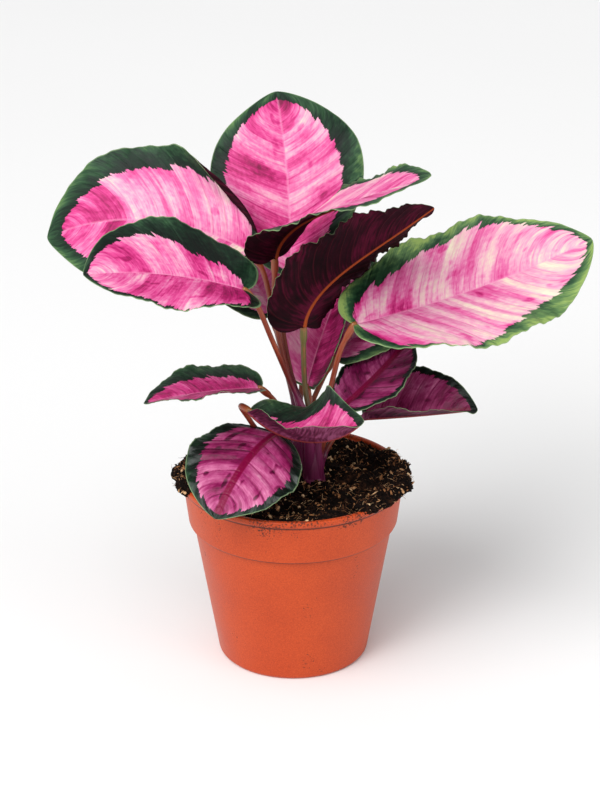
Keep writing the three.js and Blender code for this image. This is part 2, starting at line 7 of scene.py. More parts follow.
import bpy
import numpy as np
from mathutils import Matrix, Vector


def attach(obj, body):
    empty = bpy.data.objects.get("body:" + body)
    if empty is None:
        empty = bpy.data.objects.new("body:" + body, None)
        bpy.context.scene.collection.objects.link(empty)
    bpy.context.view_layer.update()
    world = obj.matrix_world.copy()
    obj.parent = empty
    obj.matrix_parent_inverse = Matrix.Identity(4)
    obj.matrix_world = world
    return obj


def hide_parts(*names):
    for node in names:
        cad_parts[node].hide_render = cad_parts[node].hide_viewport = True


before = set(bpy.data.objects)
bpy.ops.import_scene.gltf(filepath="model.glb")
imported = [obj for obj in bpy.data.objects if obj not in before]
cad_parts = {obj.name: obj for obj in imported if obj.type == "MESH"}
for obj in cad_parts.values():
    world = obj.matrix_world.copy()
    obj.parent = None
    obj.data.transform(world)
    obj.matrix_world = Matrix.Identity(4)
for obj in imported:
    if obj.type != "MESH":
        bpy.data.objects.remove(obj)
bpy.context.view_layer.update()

# %% [markdown]
# ## From arrays to a mesh
# Every surface below is worked out in millimetres as whole arrays. One helper turns points
# and faces into a mesh, and another numbers the faces of a grid. Blender could also build
# these with operators, but arrays keep each formula in one place and run fast.

# %% Faces of grids and rings
MM = 0.001
NO_TRIS = np.zeros((0, 3), int)


def grid_quads(rows, columns, ring=False):
    """Faces of a grid of points, row by row. With ring, the last column joins the first."""
    i, j = np.meshgrid(np.arange(rows - 1), np.arange(columns - (not ring)), indexing="ij")
    here, beside = i * columns + j, i * columns + (j + 1) % columns
    return np.stack([here, here + columns, beside + columns, beside], -1).reshape(-1, 4)


def sheet_faces(rows, columns):
    """Faces of a closed sheet made of two like grids: the front, the back turned over, and the
    strip that joins them all round the edge."""
    count = rows * columns
    front = grid_quads(rows, columns)
    index = np.arange(count).reshape(rows, columns)
    loop = np.concatenate([index[0, :-1], index[:-1, -1], index[-1, :0:-1], index[:0:-1, 0]])
    after = np.roll(loop, -1)
    return front, (front + count)[:, ::-1], np.stack([loop, after, after + count, loop + count], -1)


def capped_rings(rows, sides):
    """Faces of rings of points in a row, and a fan at each end to the two points that follow."""
    count, k = rows * sides, np.arange(sides)
    beside = (k + 1) % sides
    first = np.stack([k, np.full(sides, count), beside], -1)
    last = np.stack([k + count - sides, beside + count - sides, np.full(sides, count + 1)], -1)
    return grid_quads(rows, sides, ring=True)[:, ::-1], np.vstack([first, last])


print("a sheet of 3 by 4 points has", sum(map(len, sheet_faces(3, 4))), "faces")

# %% [markdown]
# A piece is a mesh at the origin that rides on the frame's root. It may replace a plain solid,
# and its slot says which finish it belongs to. Values for the paint are stored on its points.

# %% A piece in the scene
def new_object(name, data):
    """A new object in the scene from a mesh, a light or a camera."""
    made = bpy.data.objects.new(name, data)
    bpy.context.scene.collection.objects.link(made)
    return made


def add_piece(name, points, faces, materials, replaces=(), values=None, of_face=None):
    """A smooth mesh object at the origin from points in millimetres and lists of faces."""
    mesh = bpy.data.meshes.new(name)
    mesh.from_pydata((points * MM).tolist(), [], [f for part in faces for f in part.tolist()])
    for key, value in (values or {}).items():
        layer = mesh.attributes.new(key, "FLOAT", "POINT")
        layer.data.foreach_set("value", np.ravel(value).astype(np.float32))
    for material in materials:
        mesh.materials.append(material)
    mesh.polygons.foreach_set("use_smooth", np.ones(len(mesh.polygons), bool))
    if of_face is not None:
        mesh.polygons.foreach_set("material_index", of_face.astype(np.int32))
    mesh.update()
    piece = new_object(name, mesh)
    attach(piece, "root")
    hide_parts(*replaces)
    return piece


# %% [markdown]
# Relief needs three small tools: vectors of length one, an S-shaped step, and noise that is
# the same each time. Random heights on a square lattice, joined smoothly, give such noise.

# %% Steps and noise
def unit(vectors):
    """Each vector divided by its length."""
    return vectors / np.linalg.norm(vectors, axis=-1, keepdims=True)


def smooth_step(value, low, high):
    """0 below low, 1 above high, and an S-shaped rise between them."""
    t = np.clip((value - low) / (high - low), 0, 1)
    return t * t * (3 - 2 * t)


LATTICE = 64


def lattice_noise(x, y, cell, seed):
    """Random heights from -1 to 1 on a square lattice, joined by smooth steps."""
    table = np.random.default_rng(seed).uniform(-1, 1, (LATTICE, LATTICE))
    i, j = np.floor(x / cell).astype(int), np.floor(y / cell).astype(int)
    u, v = smooth_step(x / cell - i, 0, 1), smooth_step(y / cell - j, 0, 1)
    i, j, i_next, j_next = i % LATTICE, j % LATTICE, (i + 1) % LATTICE, (j + 1) % LATTICE
    near = table[i, j] * (1 - u) + table[i_next, j] * u
    far = table[i, j_next] * (1 - u) + table[i_next, j_next] * u
    return near * (1 - v) + far * v


print("noise at three places", np.round(lattice_noise(np.arange(3.0), np.zeros(3), 2.0, 5), 2).tolist())

# %% [markdown]
# ## A bench for nodes
# A painted leaf needs dozens of small sums on its own coordinates. Wiring them one by one
# hides the idea, so a small bench object adds a node, links what is a socket and sets what
# is a number.

# %% Node bench
class Bench:
    """Adds nodes to a tree. Each method returns the new node's output socket."""

    def __init__(self, tree):
        self.tree = tree

    def put(self, socket, value):
        if isinstance(value, bpy.types.NodeSocket):
            self.tree.links.new(value, socket)
        elif value is not None:
            socket.default_value = value

    def node(self, kind, inputs=(), out=0, **settings):
        made = self.tree.nodes.new("ShaderNode" + kind)
        for key, value in settings.items():
            setattr(made, key, value)
        for key, value in dict(inputs).items():
            self.put(made.inputs[key], value)
        return made.outputs[out]

    def math(self, operation, a, b=None, clamp=False):
        return self.node("Math", {0: a, 1: b}, operation=operation, use_clamp=clamp)

    def sum(self, first, *terms):
        """first plus each (share, value) term."""
        for share, value in terms:
            made = self.tree.nodes.new("ShaderNodeMath")
            made.operation = "MULTIPLY_ADD"
            self.put(made.inputs[0], value)
            self.put(made.inputs[1], share)
            self.put(made.inputs[2], first)
            first = made.outputs[0]
        return first

    def step(self, value, low, high):
        """A smooth rise from 0 at low to 1 at high."""
        return self.node("MapRange", {0: value, 1: low, 2: high}, interpolation_type="SMOOTHSTEP")

    def mix(self, share, a, b, blend="MIX"):
        return self.node("Mix", {0: share, 6: a, 7: b}, out=2, data_type="RGBA", blend_type=blend)

    def noise(self, vector, scale, detail=2.0, rough=0.5):
        """Noise round 0, about -0.5 to 0.5."""
        values = {"Vector": vector, "Scale": scale, "Detail": detail, "Roughness": rough}
        return self.math("SUBTRACT", self.node("TexNoise", values), 0.5)

    def joined(self, x, y, z=0.0):
        return self.node("CombineXYZ", {0: x, 1: y, 2: z})

    def ramp(self, value, stops):
        made = self.tree.nodes.new("ShaderNodeValToRGB")
        self.put(made.inputs[0], value)
        while len(made.color_ramp.elements) < len(stops):
            made.color_ramp.elements.new(0.5)
        for element, (place, colour) in zip(made.color_ramp.elements, stops):
            element.position = place
            element.color = colour
        return made.outputs[0]


print("bench methods", [name for name in vars(Bench) if not name.startswith("_")])

# %% [markdown]
# Colours are written as a screen shows them, and turned into the linear values that nodes
# use. A finish that several materials share is a group with inputs of its own.

# %% Colours, groups and materials
def srgb(red, green, blue):
    """A colour as a screen shows it, 0 to 255, as the linear colour that nodes use."""
    c = np.array([red, green, blue]) / 255
    linear = np.where(c <= 0.04045, c / 12.92, ((c + 0.055) / 1.055) ** 2.4)
    return (*linear.tolist(), 1.0)


def new_group(name, inputs, outputs):
    """An empty node group with named sockets, and its bench, inputs and output node."""
    group = bpy.data.node_groups.new(name, "ShaderNodeTree")
    for label, kind, value in inputs:
        socket = group.interface.new_socket(label, in_out="INPUT", socket_type="NodeSocket" + kind)
        socket.default_value = value
    for label, kind in outputs:
        group.interface.new_socket(label, in_out="OUTPUT", socket_type="NodeSocket" + kind)
    given = group.nodes.new("NodeGroupInput").outputs
    result = group.nodes.new("NodeGroupOutput").inputs
    return group, Bench(group), given, result


def new_material(name, roughness, specular=0.5):
    """A material with its Principled shader, and a bench for what feeds it."""
    material = bpy.data.materials.new(name)
    material.use_nodes = True
    shader = material.node_tree.nodes["Principled BSDF"]
    shader.inputs["Roughness"].default_value = roughness
    shader.inputs["Specular IOR Level"].default_value = specular
    return material, Bench(material.node_tree), shader.inputs


def place_group(bench, group, values):
    """A copy of a node group in a material, with its own values."""
    made = bench.tree.nodes.new("ShaderNodeGroup")
    made.node_tree = group
    for key, value in values.items():
        bench.put(made.inputs[key], value)
    return made.outputs


print("middle grey is", round(srgb(128, 128, 128)[0], 3), "as a linear value")

# %% [markdown]
# ## The leaves
# The leaf table repeats the frame's named values: the foot of each blade, the way it heads,
# its pitch, bend, sweep and roll, its length and width, the fold and curl of its halves, where
# it is fullest, how far the lobes of its foot reach back, its edge waves (a depth for each
# half, a count, a phase for each half), and the points its stalk passes. A blade is a surface
# of two numbers: s runs from foot to tip, and t from -1 at the right edge to 1 at the left.

# %% Leaf table
LEAF_KEYS = ("shoot", "base", "heading", "pitch", "bend", "sweep", "roll", "length", "width",
             "fold", "curl", "fullest", "lobe", "waves", "stem")
LEAF_ROWS = {
    "leaf_top": ("main", (-1, 20, 227), 91, (68, 46), 1, 14, (-8, -8), 108, 88,
                 (10, 9), (-24, -12), 1.2, 15, ((2.2, 2.2), 2.6, 0.1, 0.55),
                 [(5, 3, 150), (-2, 8, 175), (-6, 14, 204)]),
    "leaf_arching": ("main", (-10, 2, 244), -38, (80, 25), 5.3, 16, (2, 17), 118, 74,
                     (2, 17), (-4, -4), 0.8, 12, ((2, 2), 2.5, 0.3, 0.8),
                     [(5, 0, 150), (-4, 1, 178), (-10, 3, 210)]),
    "leaf_turned": ("main", (6, -4, 205), -4, (83, 31), 3.7, 23, (-54, -58), 102, 80,
                    (24, 1), (0, -2), 0.82, 18, ((2.2, 2.2), 3.4, 0.2, 0.1),
                    [(11, -2, 140), (7, -2, 165), (6, -3, 188)]),
    "leaf_left_near": ("main", (-26, -29, 236.5), 190, (21, 1), 1, 9, (-3, -12), 91, 74,
                       (8, 26), (-16, 3), 1.05, 46, ((2.2, 2.2), 2.2, 0.6, 0.15),
                       [(8, -5, 146), (-3, -12, 178), (-12, -19, 204), (-20, -26, 227)]),
    "leaf_left_far": ("main", (-23, 8, 244.5), 166, (27, -29), 1, -1, (-38, -39), 126, 90,
                      (-1, 16), (-11, 2), 0.94, 6, ((2.5, 2.5), 2.6, 0.2, 0.35),
                      [(6, 2, 148), (-4, 5, 178), (-11, 8, 208), (-17, 8, 234)]),
    "leaf_right_large": ("main", (34, -16, 211), 21, (5, 18), 1, 2, (6, 34), 151, 94,
                         (9, 7), (1, -7), 0.87, 24, ((3.2, 3.2), 3.2, 0.15, 0.4),
                         [(15, -3, 142), (21, -8, 168), (27, -13, 195)]),
    "leaf_young": ("main", (8, 20, 158), 38, (72, 59), 1, 0, (19, 19), 64, 46,
                   (34, 35), (0, 0), 0.96, 8, ((1, 1), 1.6, 0.1, 0.6),
                   [(12, 7, 130)]),
    "leaf_low_left": ("low", (-18, -22, 175), 188, (2, -11), 1, 1, (5, 7), 66, 48,
                      (14, 23), (-4, -1), 0.9, 14, ((1.6, 1.6), 2.2, 0.4, 0.9),
                      [(-6, -9, 133), (-9, -12, 160)]),
    "leaf_low_boat": ("low", (-24, -35, 167), -18, (-46, 51), 1, -1, (3, 22), 75, 64,
                      (18, 46), (2, 11), 1.14, 14, ((8, 3), 1.3, 0.32, 0.2),
                      [(-15, -8, 132), (-24, -16, 152), (-29, -27, 166)]),
    "leaf_low_front": ("low", (-9, -17, 145), 236, (0, -44), 1, 7, (-9, -9), 72, 66,
                       (4, 9), (-13, -10), 0.95, 1, ((1.8, 1.8), 3.2, 0.15, 0.65),
                       [(-8, -14, 128)]),
    "leaf_low_right_back": ("main", (29, -6, 157), 41, (22, 35), 1, 0, (1, 1), 59, 45,
                            (4, 4), (-2, -2), 0.91, 12, ((1.6, 1.6), 2.4, 0.3, 0.8),
                            [(18, -3, 134)]),
    "leaf_low_right": ("main", (41, 14, 141), -4, (4, 10), 1, -6, (7, 24), 66, 58,
                       (30, 45), (0, 0), 0.94, 12, ((1.6, 1.6), 2.4, 0.1, 0.5),
                       [(19, 4, 124), (29, 9, 137)]),
    "leaf_back_left": ("back", (-12, 36, 196), 118, (38, -4), 1, 6, (-4, -4), 92, 64,
                       (12, 12), (-14, -14), 0.95, 16, ((2, 2), 2.4, 0.35, 0.85),
                       [(1, 26, 140), (-6, 31, 172)]),
    "leaf_back_middle": ("back", (8, 38, 186), 80, (40, -8), 1, -5, (3, 3), 96, 67,
                         (10, 11), (-14, -12), 0.95, 16, ((2, 2), 2.6, 0.05, 0.5),
                         [(4, 29, 140), (6, 34, 166)]),
    "leaf_back_right": ("back", (24, 30, 172), 40, (34, -2), 1, 5, (6, 6), 86, 60,
                        (11, 12), (-12, -14), 0.93, 16, ((1.8, 1.8), 2.3, 0.6, 0.15),
                        [(8, 27, 135), (17, 29, 158)]),
}
LEAVES = {name: dict(zip(LEAF_KEYS, row)) for name, row in LEAF_ROWS.items()}
print("leaves", len(LEAVES), "blade lengths", sorted(leaf["length"] for leaf in LEAVES.values()))

# %% [markdown]
# Each blade has its own painting: how wide its green margin is at foot and tip in each half,
# how far the rosy centre stays from the tip, its tone at foot and tip (0 is dark magenta,
# 0.5 pink, 1 cream), how pale the green, how dark the painted shade in the creases along its
# side veins, and how deeply the tissue domes between them. What is the same for most leaves
# has a usual value: how mauve an old leaf has gone, how much painted light pales its left
# half, how much darker its tip is, how jagged the edge of the rose is, how crimped the
# blade's own edge, its roughness and gloss, and by how many degrees its right margin rolls
# over near the foot.

# %% Painting table
USUAL = {"mauve": 0.0, "side_tone": 0.0, "dark_tip": 0.0, "jag": 1, "crimp": 0.5, "roughness": 0.45,
         "gloss": 0.22, "rolled": 0}


def painting(left_margin, right_margin, tip_gap, tones, green, crease, quilt, **own):
    """One leaf's painting: its own values, and the usual ones for the rest."""
    needed = {"left_margin": left_margin, "right_margin": right_margin, "tip_gap": tip_gap,
              "tone": tones[0], "tip_tone": tones[1], "green": green, "crease": crease, "quilt": quilt}
    return {**USUAL, **needed, **own}


PAINT = {
    "leaf_top": painting((8, 9), (11, 14), 0.05, (0.52, 0.46), 0.4, 0.14, 0.4, dark_tip=0.35, crimp=0.3),
    "leaf_arching": painting((8, 7), (8, 6), 0.06, (0.6, 0.56), 0.55, 0.1, 0.3, crimp=0.8),
    "leaf_turned": painting((9, 9), (9, 9), 0.07, (0.45, 0.5), 0.4, 0.14, 0.4, crimp=1.3),
    "leaf_left_near": painting((1, 2), (18, 9), 0.03, (0.3, 0.64), 0.28, 0.14, 0.5, jag=1.2),
    "leaf_left_far": painting((8, 8), (13, 14), 0.08, (0.57, 0.44), 0.42, 0.1, 0.4,
                              dark_tip=0.22, jag=1.6, crimp=0.6, rolled=235),
    "leaf_right_large": painting((13, 5), (1, 14), 0.03, (0.52, 0.74), 0.78, 0.14, 0.6, jag=2, crimp=0.9),
    "leaf_young": painting((1, 1), (1, 1), 0.02, (0.36, 0.36), 0.5, 0.1, 0.2,
                           mauve=0.15, side_tone=0.16, crimp=0.2, roughness=0.42),
    "leaf_low_left": painting((2, 2), (12, 10), 0.04, (0.31, 0.33), 0.3, 0.16, 0.7,
                              mauve=0.1, roughness=0.34, gloss=0.4),
    "leaf_low_boat": painting((22, 6), (3, 3), 0.07, (0.33, 0.33), 0.32, 0.12, 0.5,
                              roughness=0.36, gloss=0.4),
    # leaf_low_front's tone rises from a dark foot to a pale tip: partly its own colour, and partly a
    # painted highlight near the tip.
    "leaf_low_front": painting((6, 6), (8, 8), 0.04, (0.18, 0.58), 0.2, 0.32, 1.6,
                               mauve=0.8, crimp=0.4, roughness=0.3, gloss=0.3),
    "leaf_low_right_back": painting((3, 3), (3, 3), 0.05, (0.4, 0.34), 0.1, 0.25, 0.9,
                                    mauve=0.9, side_tone=0.06, crimp=0.4, roughness=0.36, gloss=0.3),
    "leaf_low_right": painting((4, 4), (4, 4), 0.06, (0.42, 0.34), 0.1, 0.2, 0.8,
                               mauve=0.8, crimp=0.4, roughness=0.36, gloss=0.3),
    "leaf_back_left": painting((9, 9), (10, 9), 0.07, (0.5, 0.6), 0.4, 0.12, 0.4),
    "leaf_back_middle": painting((10, 9), (9, 9), 0.07, (0.56, 0.5), 0.4, 0.12, 0.4),
    "leaf_back_right": painting((9, 8), (9, 9), 0.07, (0.46, 0.4), 0.45, 0.12, 0.4),
}
print("widest margin", max(max(p["left_margin"] + p["right_margin"]) for p in PAINT.values()), "mm")

# %% [markdown]
# ## The blade's form
# A calathea blade is a full oval on an arching midrib. Its halves rise or droop from the
# midrib on soft arcs, its edge waves, and the tissue domes up between the side veins. It
# could be sculpted, but a formula keeps it on the frame's solid exactly: the same midrib,
# outline, folds and waves, with finer steps and the small relief added.

# %% Midrib and frame of a blade
def along_blade(leaf, s):
    """Directions at shares s: along the midrib, across to the left, and out of the upper face.
    Heading and roll change evenly. Pitch falls from foot to tip as (1 - s) to the bend's power."""
    turn = np.radians(leaf["heading"] + leaf["sweep"] * s)
    pitch = np.radians(leaf["pitch"][1] + (leaf["pitch"][0] - leaf["pitch"][1]) * (1 - s) ** leaf["bend"])
    roll = np.radians(leaf["roll"][0] + (leaf["roll"][1] - leaf["roll"][0]) * s)[:, None]
    along = np.stack([np.cos(pitch) * np.cos(turn), np.cos(pitch) * np.sin(turn), np.sin(pitch)], -1)
    level = np.stack([-np.sin(turn), np.cos(turn), 0 * turn], -1)
    above = np.cross(along, level)
    across = np.cos(roll) * level + np.sin(roll) * above
    return along, across, np.cos(roll) * above - np.sin(roll) * level


MIDRIB_STEPS = 1200


def midrib(leaf, s):
    """Points of the midrib at rising shares s: its direction added up in fine steps."""
    fine = np.linspace(0, 1, MIDRIB_STEPS + 1)
    along = along_blade(leaf, (fine[1:] + fine[:-1]) / 2)[0]
    path = np.vstack([np.zeros(3), np.cumsum(along * leaf["length"] / MIDRIB_STEPS, axis=0)])
    return np.array(leaf["base"]) + np.stack([np.interp(s, fine, path[:, k]) for k in range(3)], -1)


FOOT_HALF_WIDTH, TIP_HALF_WIDTH = 2, 0.9


def half_width(leaf, s):
    """Half the blade's width: a rounded power of a sine, narrowed at the tip's point."""
    full = np.clip(np.sin(np.pi * s ** leaf["fullest"]), 0, None) ** 0.56
    least = FOOT_HALF_WIDTH + (TIP_HALF_WIDTH - FOOT_HALF_WIDTH) * s
    return np.maximum(leaf["width"] / 2 * full * (1 - 0.35 * s**10), least)


print("tip of leaf_top at mm", np.round(midrib(LEAVES["leaf_top"], np.ones(1))[0], 1).tolist())

# %% [markdown]
# The side veins leave the midrib aslant and bend towards the tip. A third number, v, stays
# the same along each of them, so whatever follows the veins, relief or colour, reads v.

# %% Side veins
VEIN_SPACING = 8


def vein_number(s, t):
    """Where on the midrib the side vein through (s, t) starts: s less a slant that grows with t."""
    return s - 0.24 * np.abs(t) ** 1.25 * smooth_step(s, -0.25, 0.45)


print("the vein through the edge's middle starts at", round(float(vein_number(0.5, 1.0)), 2))

# %% [markdown]
# One blade's right margin has rolled over near its foot and shows the maroon underside. Its
# outer share bends like a scroll, and the roll fades out towards the middle of the blade.

# %% Rolled margin
ROLLED_SHARE = 0.31


def rolled_edge(turns, s, t, end, reach):
    """Extra sideways and upward travel where the right margin rolls over, in millimetres. The outer
    share of the half bends evenly, so it follows a circle: the angle grows with the distance q into
    the margin, and the travel is (sin, 1 - cos) of that angle over its full value."""
    where = smooth_step(s, -0.04, 0.08) * (1 - smooth_step(s, 0.18, 0.5))
    bend = np.maximum(np.radians(turns) * where * (1 + 0.12 * np.sin(19 * s)), 1e-3)[:, None]
    q = np.clip((-t[None] - 1 + ROLLED_SHARE) / ROLLED_SHARE, 0, 1)
    margin = ROLLED_SHARE * reach
    ahead = margin * (np.sin(bend * q) / bend - q)
    inward = margin * (1 - np.cos(bend * q)) / bend
    return inward * np.sin(end) - ahead * np.cos(end), ahead * np.sin(end) + inward * np.cos(end)


print("rolled margins", [name for name, paint in PAINT.items() if paint["rolled"]])

# %% [markdown]
# The surface puts these together, half by half: the arc of the half, the edge's waves, the
# domes between the veins, the groove on the midrib and the lobes of the foot.

# %% Surface of a blade
def blade_surface(leaf, paint, s, t):
    """Points of the blade's middle surface on a grid of s (rows) and t (columns), and their outward
    normals. Each half is an arc that starts at its fold's angle and bends by its curl. The foot's
    lobes reach back behind the joint by the lobe's value times t squared. The edge's slow wave
    grows with t cubed, and its fine crimp with t to the seventh. Tissue domes between side veins
    as the size of a sine of v, and a rolled margin comes last."""
    along, across, out = (a[:, None] for a in along_blade(leaf, s))
    reach = half_width(leaf, s)[:, None]
    open_share = smooth_step(np.minimum(s, 1 - s), -0.03, 0.08)[:, None]
    size, half = np.abs(t), np.where(t < 0, 1, 0)
    fold = np.radians(np.array(leaf["fold"])[half])[None] * open_share
    curl = np.radians(np.array(leaf["curl"])[half])[None] * open_share
    curl = np.where(np.abs(curl) < 1e-3, 1e-3, curl)
    end = fold + curl * size
    sideways = (np.sin(end) - np.sin(fold)) / curl * np.sign(t)
    up = (np.cos(fold) - np.cos(end)) / curl
    depth, count, *phase = leaf["waves"]
    depth = np.array(depth)[half][None]
    phase = np.array(phase)[half][None]
    turns = count * s[:, None]
    beat = np.sin(2 * np.pi * (turns + phase))
    crimp = np.sin(2 * np.pi * (3.7 * turns + 3 * phase))
    crimp = crimp + 0.6 * np.sin(2 * np.pi * (8.3 * turns + 5 * phase))
    wave = depth * size**3 * beat + paint["crimp"] * size**7 * crimp
    wave = wave * np.sin(np.pi * s)[:, None]
    laterals = round(leaf["length"] / VEIN_SPACING)
    v = vein_number(s[:, None], t[None])
    dome = np.abs(np.sin(np.pi * laterals * v)) ** 0.8 - 0.6
    place = smooth_step(size, 0.03, 0.3) * (1 - size**6) * np.sin(np.pi * s[:, None]) ** 0.5
    groove = -0.5 * np.exp(-((size * reach / 0.9) ** 2)) * (1 - s[:, None]) ** 0.5
    lift = up * reach + wave + paint["quilt"] * dome * place + groove
    back = leaf["lobe"] * reach / (leaf["width"] / 2) * size**2 * (1 - s[:, None]) ** 4
    shift, rise = rolled_edge(paint["rolled"], s, t, end, reach)
    points = midrib(leaf, s)[:, None] + across * (sideways * reach + shift)[..., None] \
        + out * (lift + rise)[..., None] - along * back[..., None]
    rows_step, columns_step = np.gradient(points, axis=0), np.gradient(points, axis=1)
    return points, unit(np.cross(rows_step, columns_step)), v, laterals


sample = blade_surface(LEAVES["leaf_top"], PAINT["leaf_top"], np.linspace(0, 1, 9), np.linspace(-1, 1, 5))
print("leaf_top spans mm", np.round(np.ptp(sample[0].reshape(-1, 3), axis=0)).tolist())
print("side veins in each of its halves", sample[3])

# %% [markdown]
# The rosy centre is a smaller oval inside the blade. Its distance in millimetres, positive
# inside, is stored on the mesh, so that the paint can cut its edge into teeth.

# %% Where the rosy centre ends
FOOT_GAP = 0.015


def centre_distance(leaf, paint, s, t):
    """How far inside the rosy centre a point lies: the centre's half width, which is the blade's
    less the margin, drawn in at foot and tip, less the point's distance from the midrib."""
    inner = np.clip((s - FOOT_GAP) / (1 - paint["tip_gap"] - FOOT_GAP), 0, 1)
    shape = np.clip(np.sin(np.pi * inner ** leaf["fullest"]), 0, None) ** 0.62
    turn_over = smooth_step(s, 0.25, 0.75)
    left, right = (paint[side][0] + (paint[side][1] - paint[side][0]) * turn_over
                   for side in ("left_margin", "right_margin"))
    margin = np.where(t[None] < 0, right[:, None], left[:, None])
    outside = np.maximum(FOOT_GAP - s, s - 1 + paint["tip_gap"]).clip(0, None) * leaf["length"]
    room = (leaf["width"] / 2 - margin) * shape[:, None] - outside[:, None]
    return room - np.abs(t)[None] * half_width(leaf, s)[:, None]


middle = centre_distance(LEAVES["leaf_top"], PAINT["leaf_top"], np.array([0.5]), np.array([-1, 0, 1]))
print("leaf_top, mm inside the rose at right edge, midrib, left edge", np.round(middle[0]).tolist())

# %% [markdown]
# ## Painting the upper face
# The centre is brushed with streaks that run out along the side veins, from magenta over
# pink to cream, and the stretch round each vein has its own tone. The green margin bites
# into it with fine teeth. An image could hold this, but noise on v and t draws it at any
# size: noise squeezed across the veins and stretched along them becomes brush strokes.

# %% Leaf paint group
LEAF_PAINT_INPUTS = {
    "Along": 0.0, "Across": 0.0, "Vein": 0.0, "Centre": 0.0, "Edge": 5.0, "Rib": 5.0,
    "Laterals": 14.0, "Seed": 0.0, "Tone": 0.5, "Tip tone": 0.5, "Painted light side": 0.0, "Dark tip": 0.0,
    "Green": 0.5, "Mauve": 0.0, "Crease shade": 0.1, "Jag": 1.0,
}
leaf_paint, b, given, result = new_group(
    "leaf_paint", [(label, "Float", value) for label, value in LEAF_PAINT_INPUTS.items()],
    [("Color", "Color"), ("Roughness", "Float"), ("Height", "Float")])
beats = b.math("MULTIPLY", given["Vein"], given["Laterals"])
half = b.math("SIGN", given["Across"])
start = b.math("ADD", b.math("MULTIPLY", given["Seed"], 17.3), b.math("MULTIPLY", half, 31.7))
size = b.math("ABSOLUTE", given["Across"])


def strokes(across_scale, along_scale, detail=1.0):
    """Noise that is fine across the side veins and long along them."""
    x = b.sum(start, (across_scale, beats))
    y = b.sum(given["Seed"], (along_scale, size))
    return b.noise(b.joined(x, y), 1.0, detail)


broad = strokes(0.4, 1.1)
bands = strokes(1.1, 1.4)
lines = strokes(6.0, 2.6)
hairs = strokes(15.0, 6.0)
spread = b.joined(b.sum(start, (3.0, beats)), b.math("MULTIPLY", given["Rib"], 0.4), given["Seed"])
mottle = b.noise(spread, 1.0, 3.0)
print("strokes ready, nodes so far", len(leaf_paint.nodes))

# %% [markdown]
# The stretch round each side vein draws its own random number, for its tone and for how far
# the rose reaches out there. A saw-tooth that rises over each stretch and falls back midway
# between two veins, and the strokes themselves, cut the fine teeth.

# %% Teeth
stretch = b.math("ADD", beats, 0.5)
lot = b.math("ADD", b.math("FLOOR", stretch), start)
own_tone = b.math("SUBTRACT", b.node("TexWhiteNoise", {"W": lot}, noise_dimensions="1D"), 0.5)
saw = b.math("SUBTRACT", b.math("FRACT", stretch), 0.5)
leaps = b.sum(0.0, (1.2, own_tone), (3.0, bands))
bite = b.sum(given["Centre"], (1.8, saw), (given["Jag"], leaps), (3.2, lines), (2.6, hairs))
inside = b.step(bite, -0.3, 0.3)
print("teeth ready, nodes so far", len(leaf_paint.nodes))

# %% [markdown]
# The tone sums these strokes: a broad drift, a step from stretch to stretch, bands, lines and
# hairs. It also takes painted light, which makes the whole left half paler.
# Painted shade darkens a few dimples and the creases along the veins. A colour ramp turns the
# tone into rose, or into mauve on the older, lower leaves. The midrib is a pale line on a fresh
# leaf and a broad crimson one on an old leaf.

# %% Rosy centre
rise = b.math("SUBTRACT", given["Tip tone"], given["Tone"])
# Painted light: one value makes the whole left half paler, as if that half were lit.
tone = b.sum(given["Tone"], (given["Along"], rise), (given["Painted light side"], half), (0.95, broad),
             (0.24, own_tone), (0.7, bands), (0.28, lines), (0.28, hairs), (0.4, mottle))
tone = b.math("SUBTRACT", tone, b.math("MULTIPLY", given["Dark tip"], b.step(given["Along"], 0.84, 0.95)))
# Painted shade: the creases along the side veins and a few dimples are darkened, where the puckered tissue
# shades itself.
near_vein = b.step(b.math("ABSOLUTE", b.math("SUBTRACT", b.math("FRACT", beats), 0.5)), 0.38, 0.5)
crease = b.math("MULTIPLY", near_vein, b.step(b.sum(0.0, (1.0, bands), (0.6, mottle)), -0.12, 0.12))
shade_spots = b.noise(b.joined(b.sum(start, (0.9, beats)), b.sum(9.0, (4.5, size))), 1.0, 1.0)
dimple_shade = b.step(shade_spots, 0.12, 0.24)
tone = b.math("SUBTRACT", tone, b.math("MULTIPLY", given["Crease shade"], b.sum(crease, (1.4, dimple_shade))))
rose = b.ramp(tone, [(0.0, srgb(120, 10, 64)), (0.2, srgb(180, 30, 104)), (0.36, srgb(214, 66, 138)),
                     (0.52, srgb(226, 112, 166)), (0.70, srgb(234, 164, 190)), (0.88, srgb(234, 206, 194)),
                     (1.0, srgb(238, 224, 200))])
mauve = b.ramp(tone, [(0.0, srgb(58, 4, 34)), (0.25, srgb(108, 16, 66)), (0.45, srgb(148, 42, 98)),
                      (0.65, srgb(186, 80, 134)), (0.9, srgb(228, 156, 190))])
rose = b.mix(given["Mauve"], rose, mauve)
aged = b.step(given["Mauve"], 0.4, 0.7)
rib_line = b.math("SUBTRACT", 1.0, b.step(b.sum(given["Rib"], (-1.5, aged)), 0.2, 1.1))
rib_tone = b.mix(aged, srgb(240, 150, 190), srgb(124, 0, 56))
rib_share = b.math("MULTIPLY", rib_line, b.sum(0.55, (-0.25, given["Along"]), (0.6, aged)), clamp=True)
rose = b.mix(rib_share, rose, rib_tone)
print("rose ready, nodes so far", len(leaf_paint.nodes))

# %% [markdown]
# The margin is near black-green where it meets the rose and paler towards the edge, which
# carries a thin pale line. Its own strokes run on along the side veins.

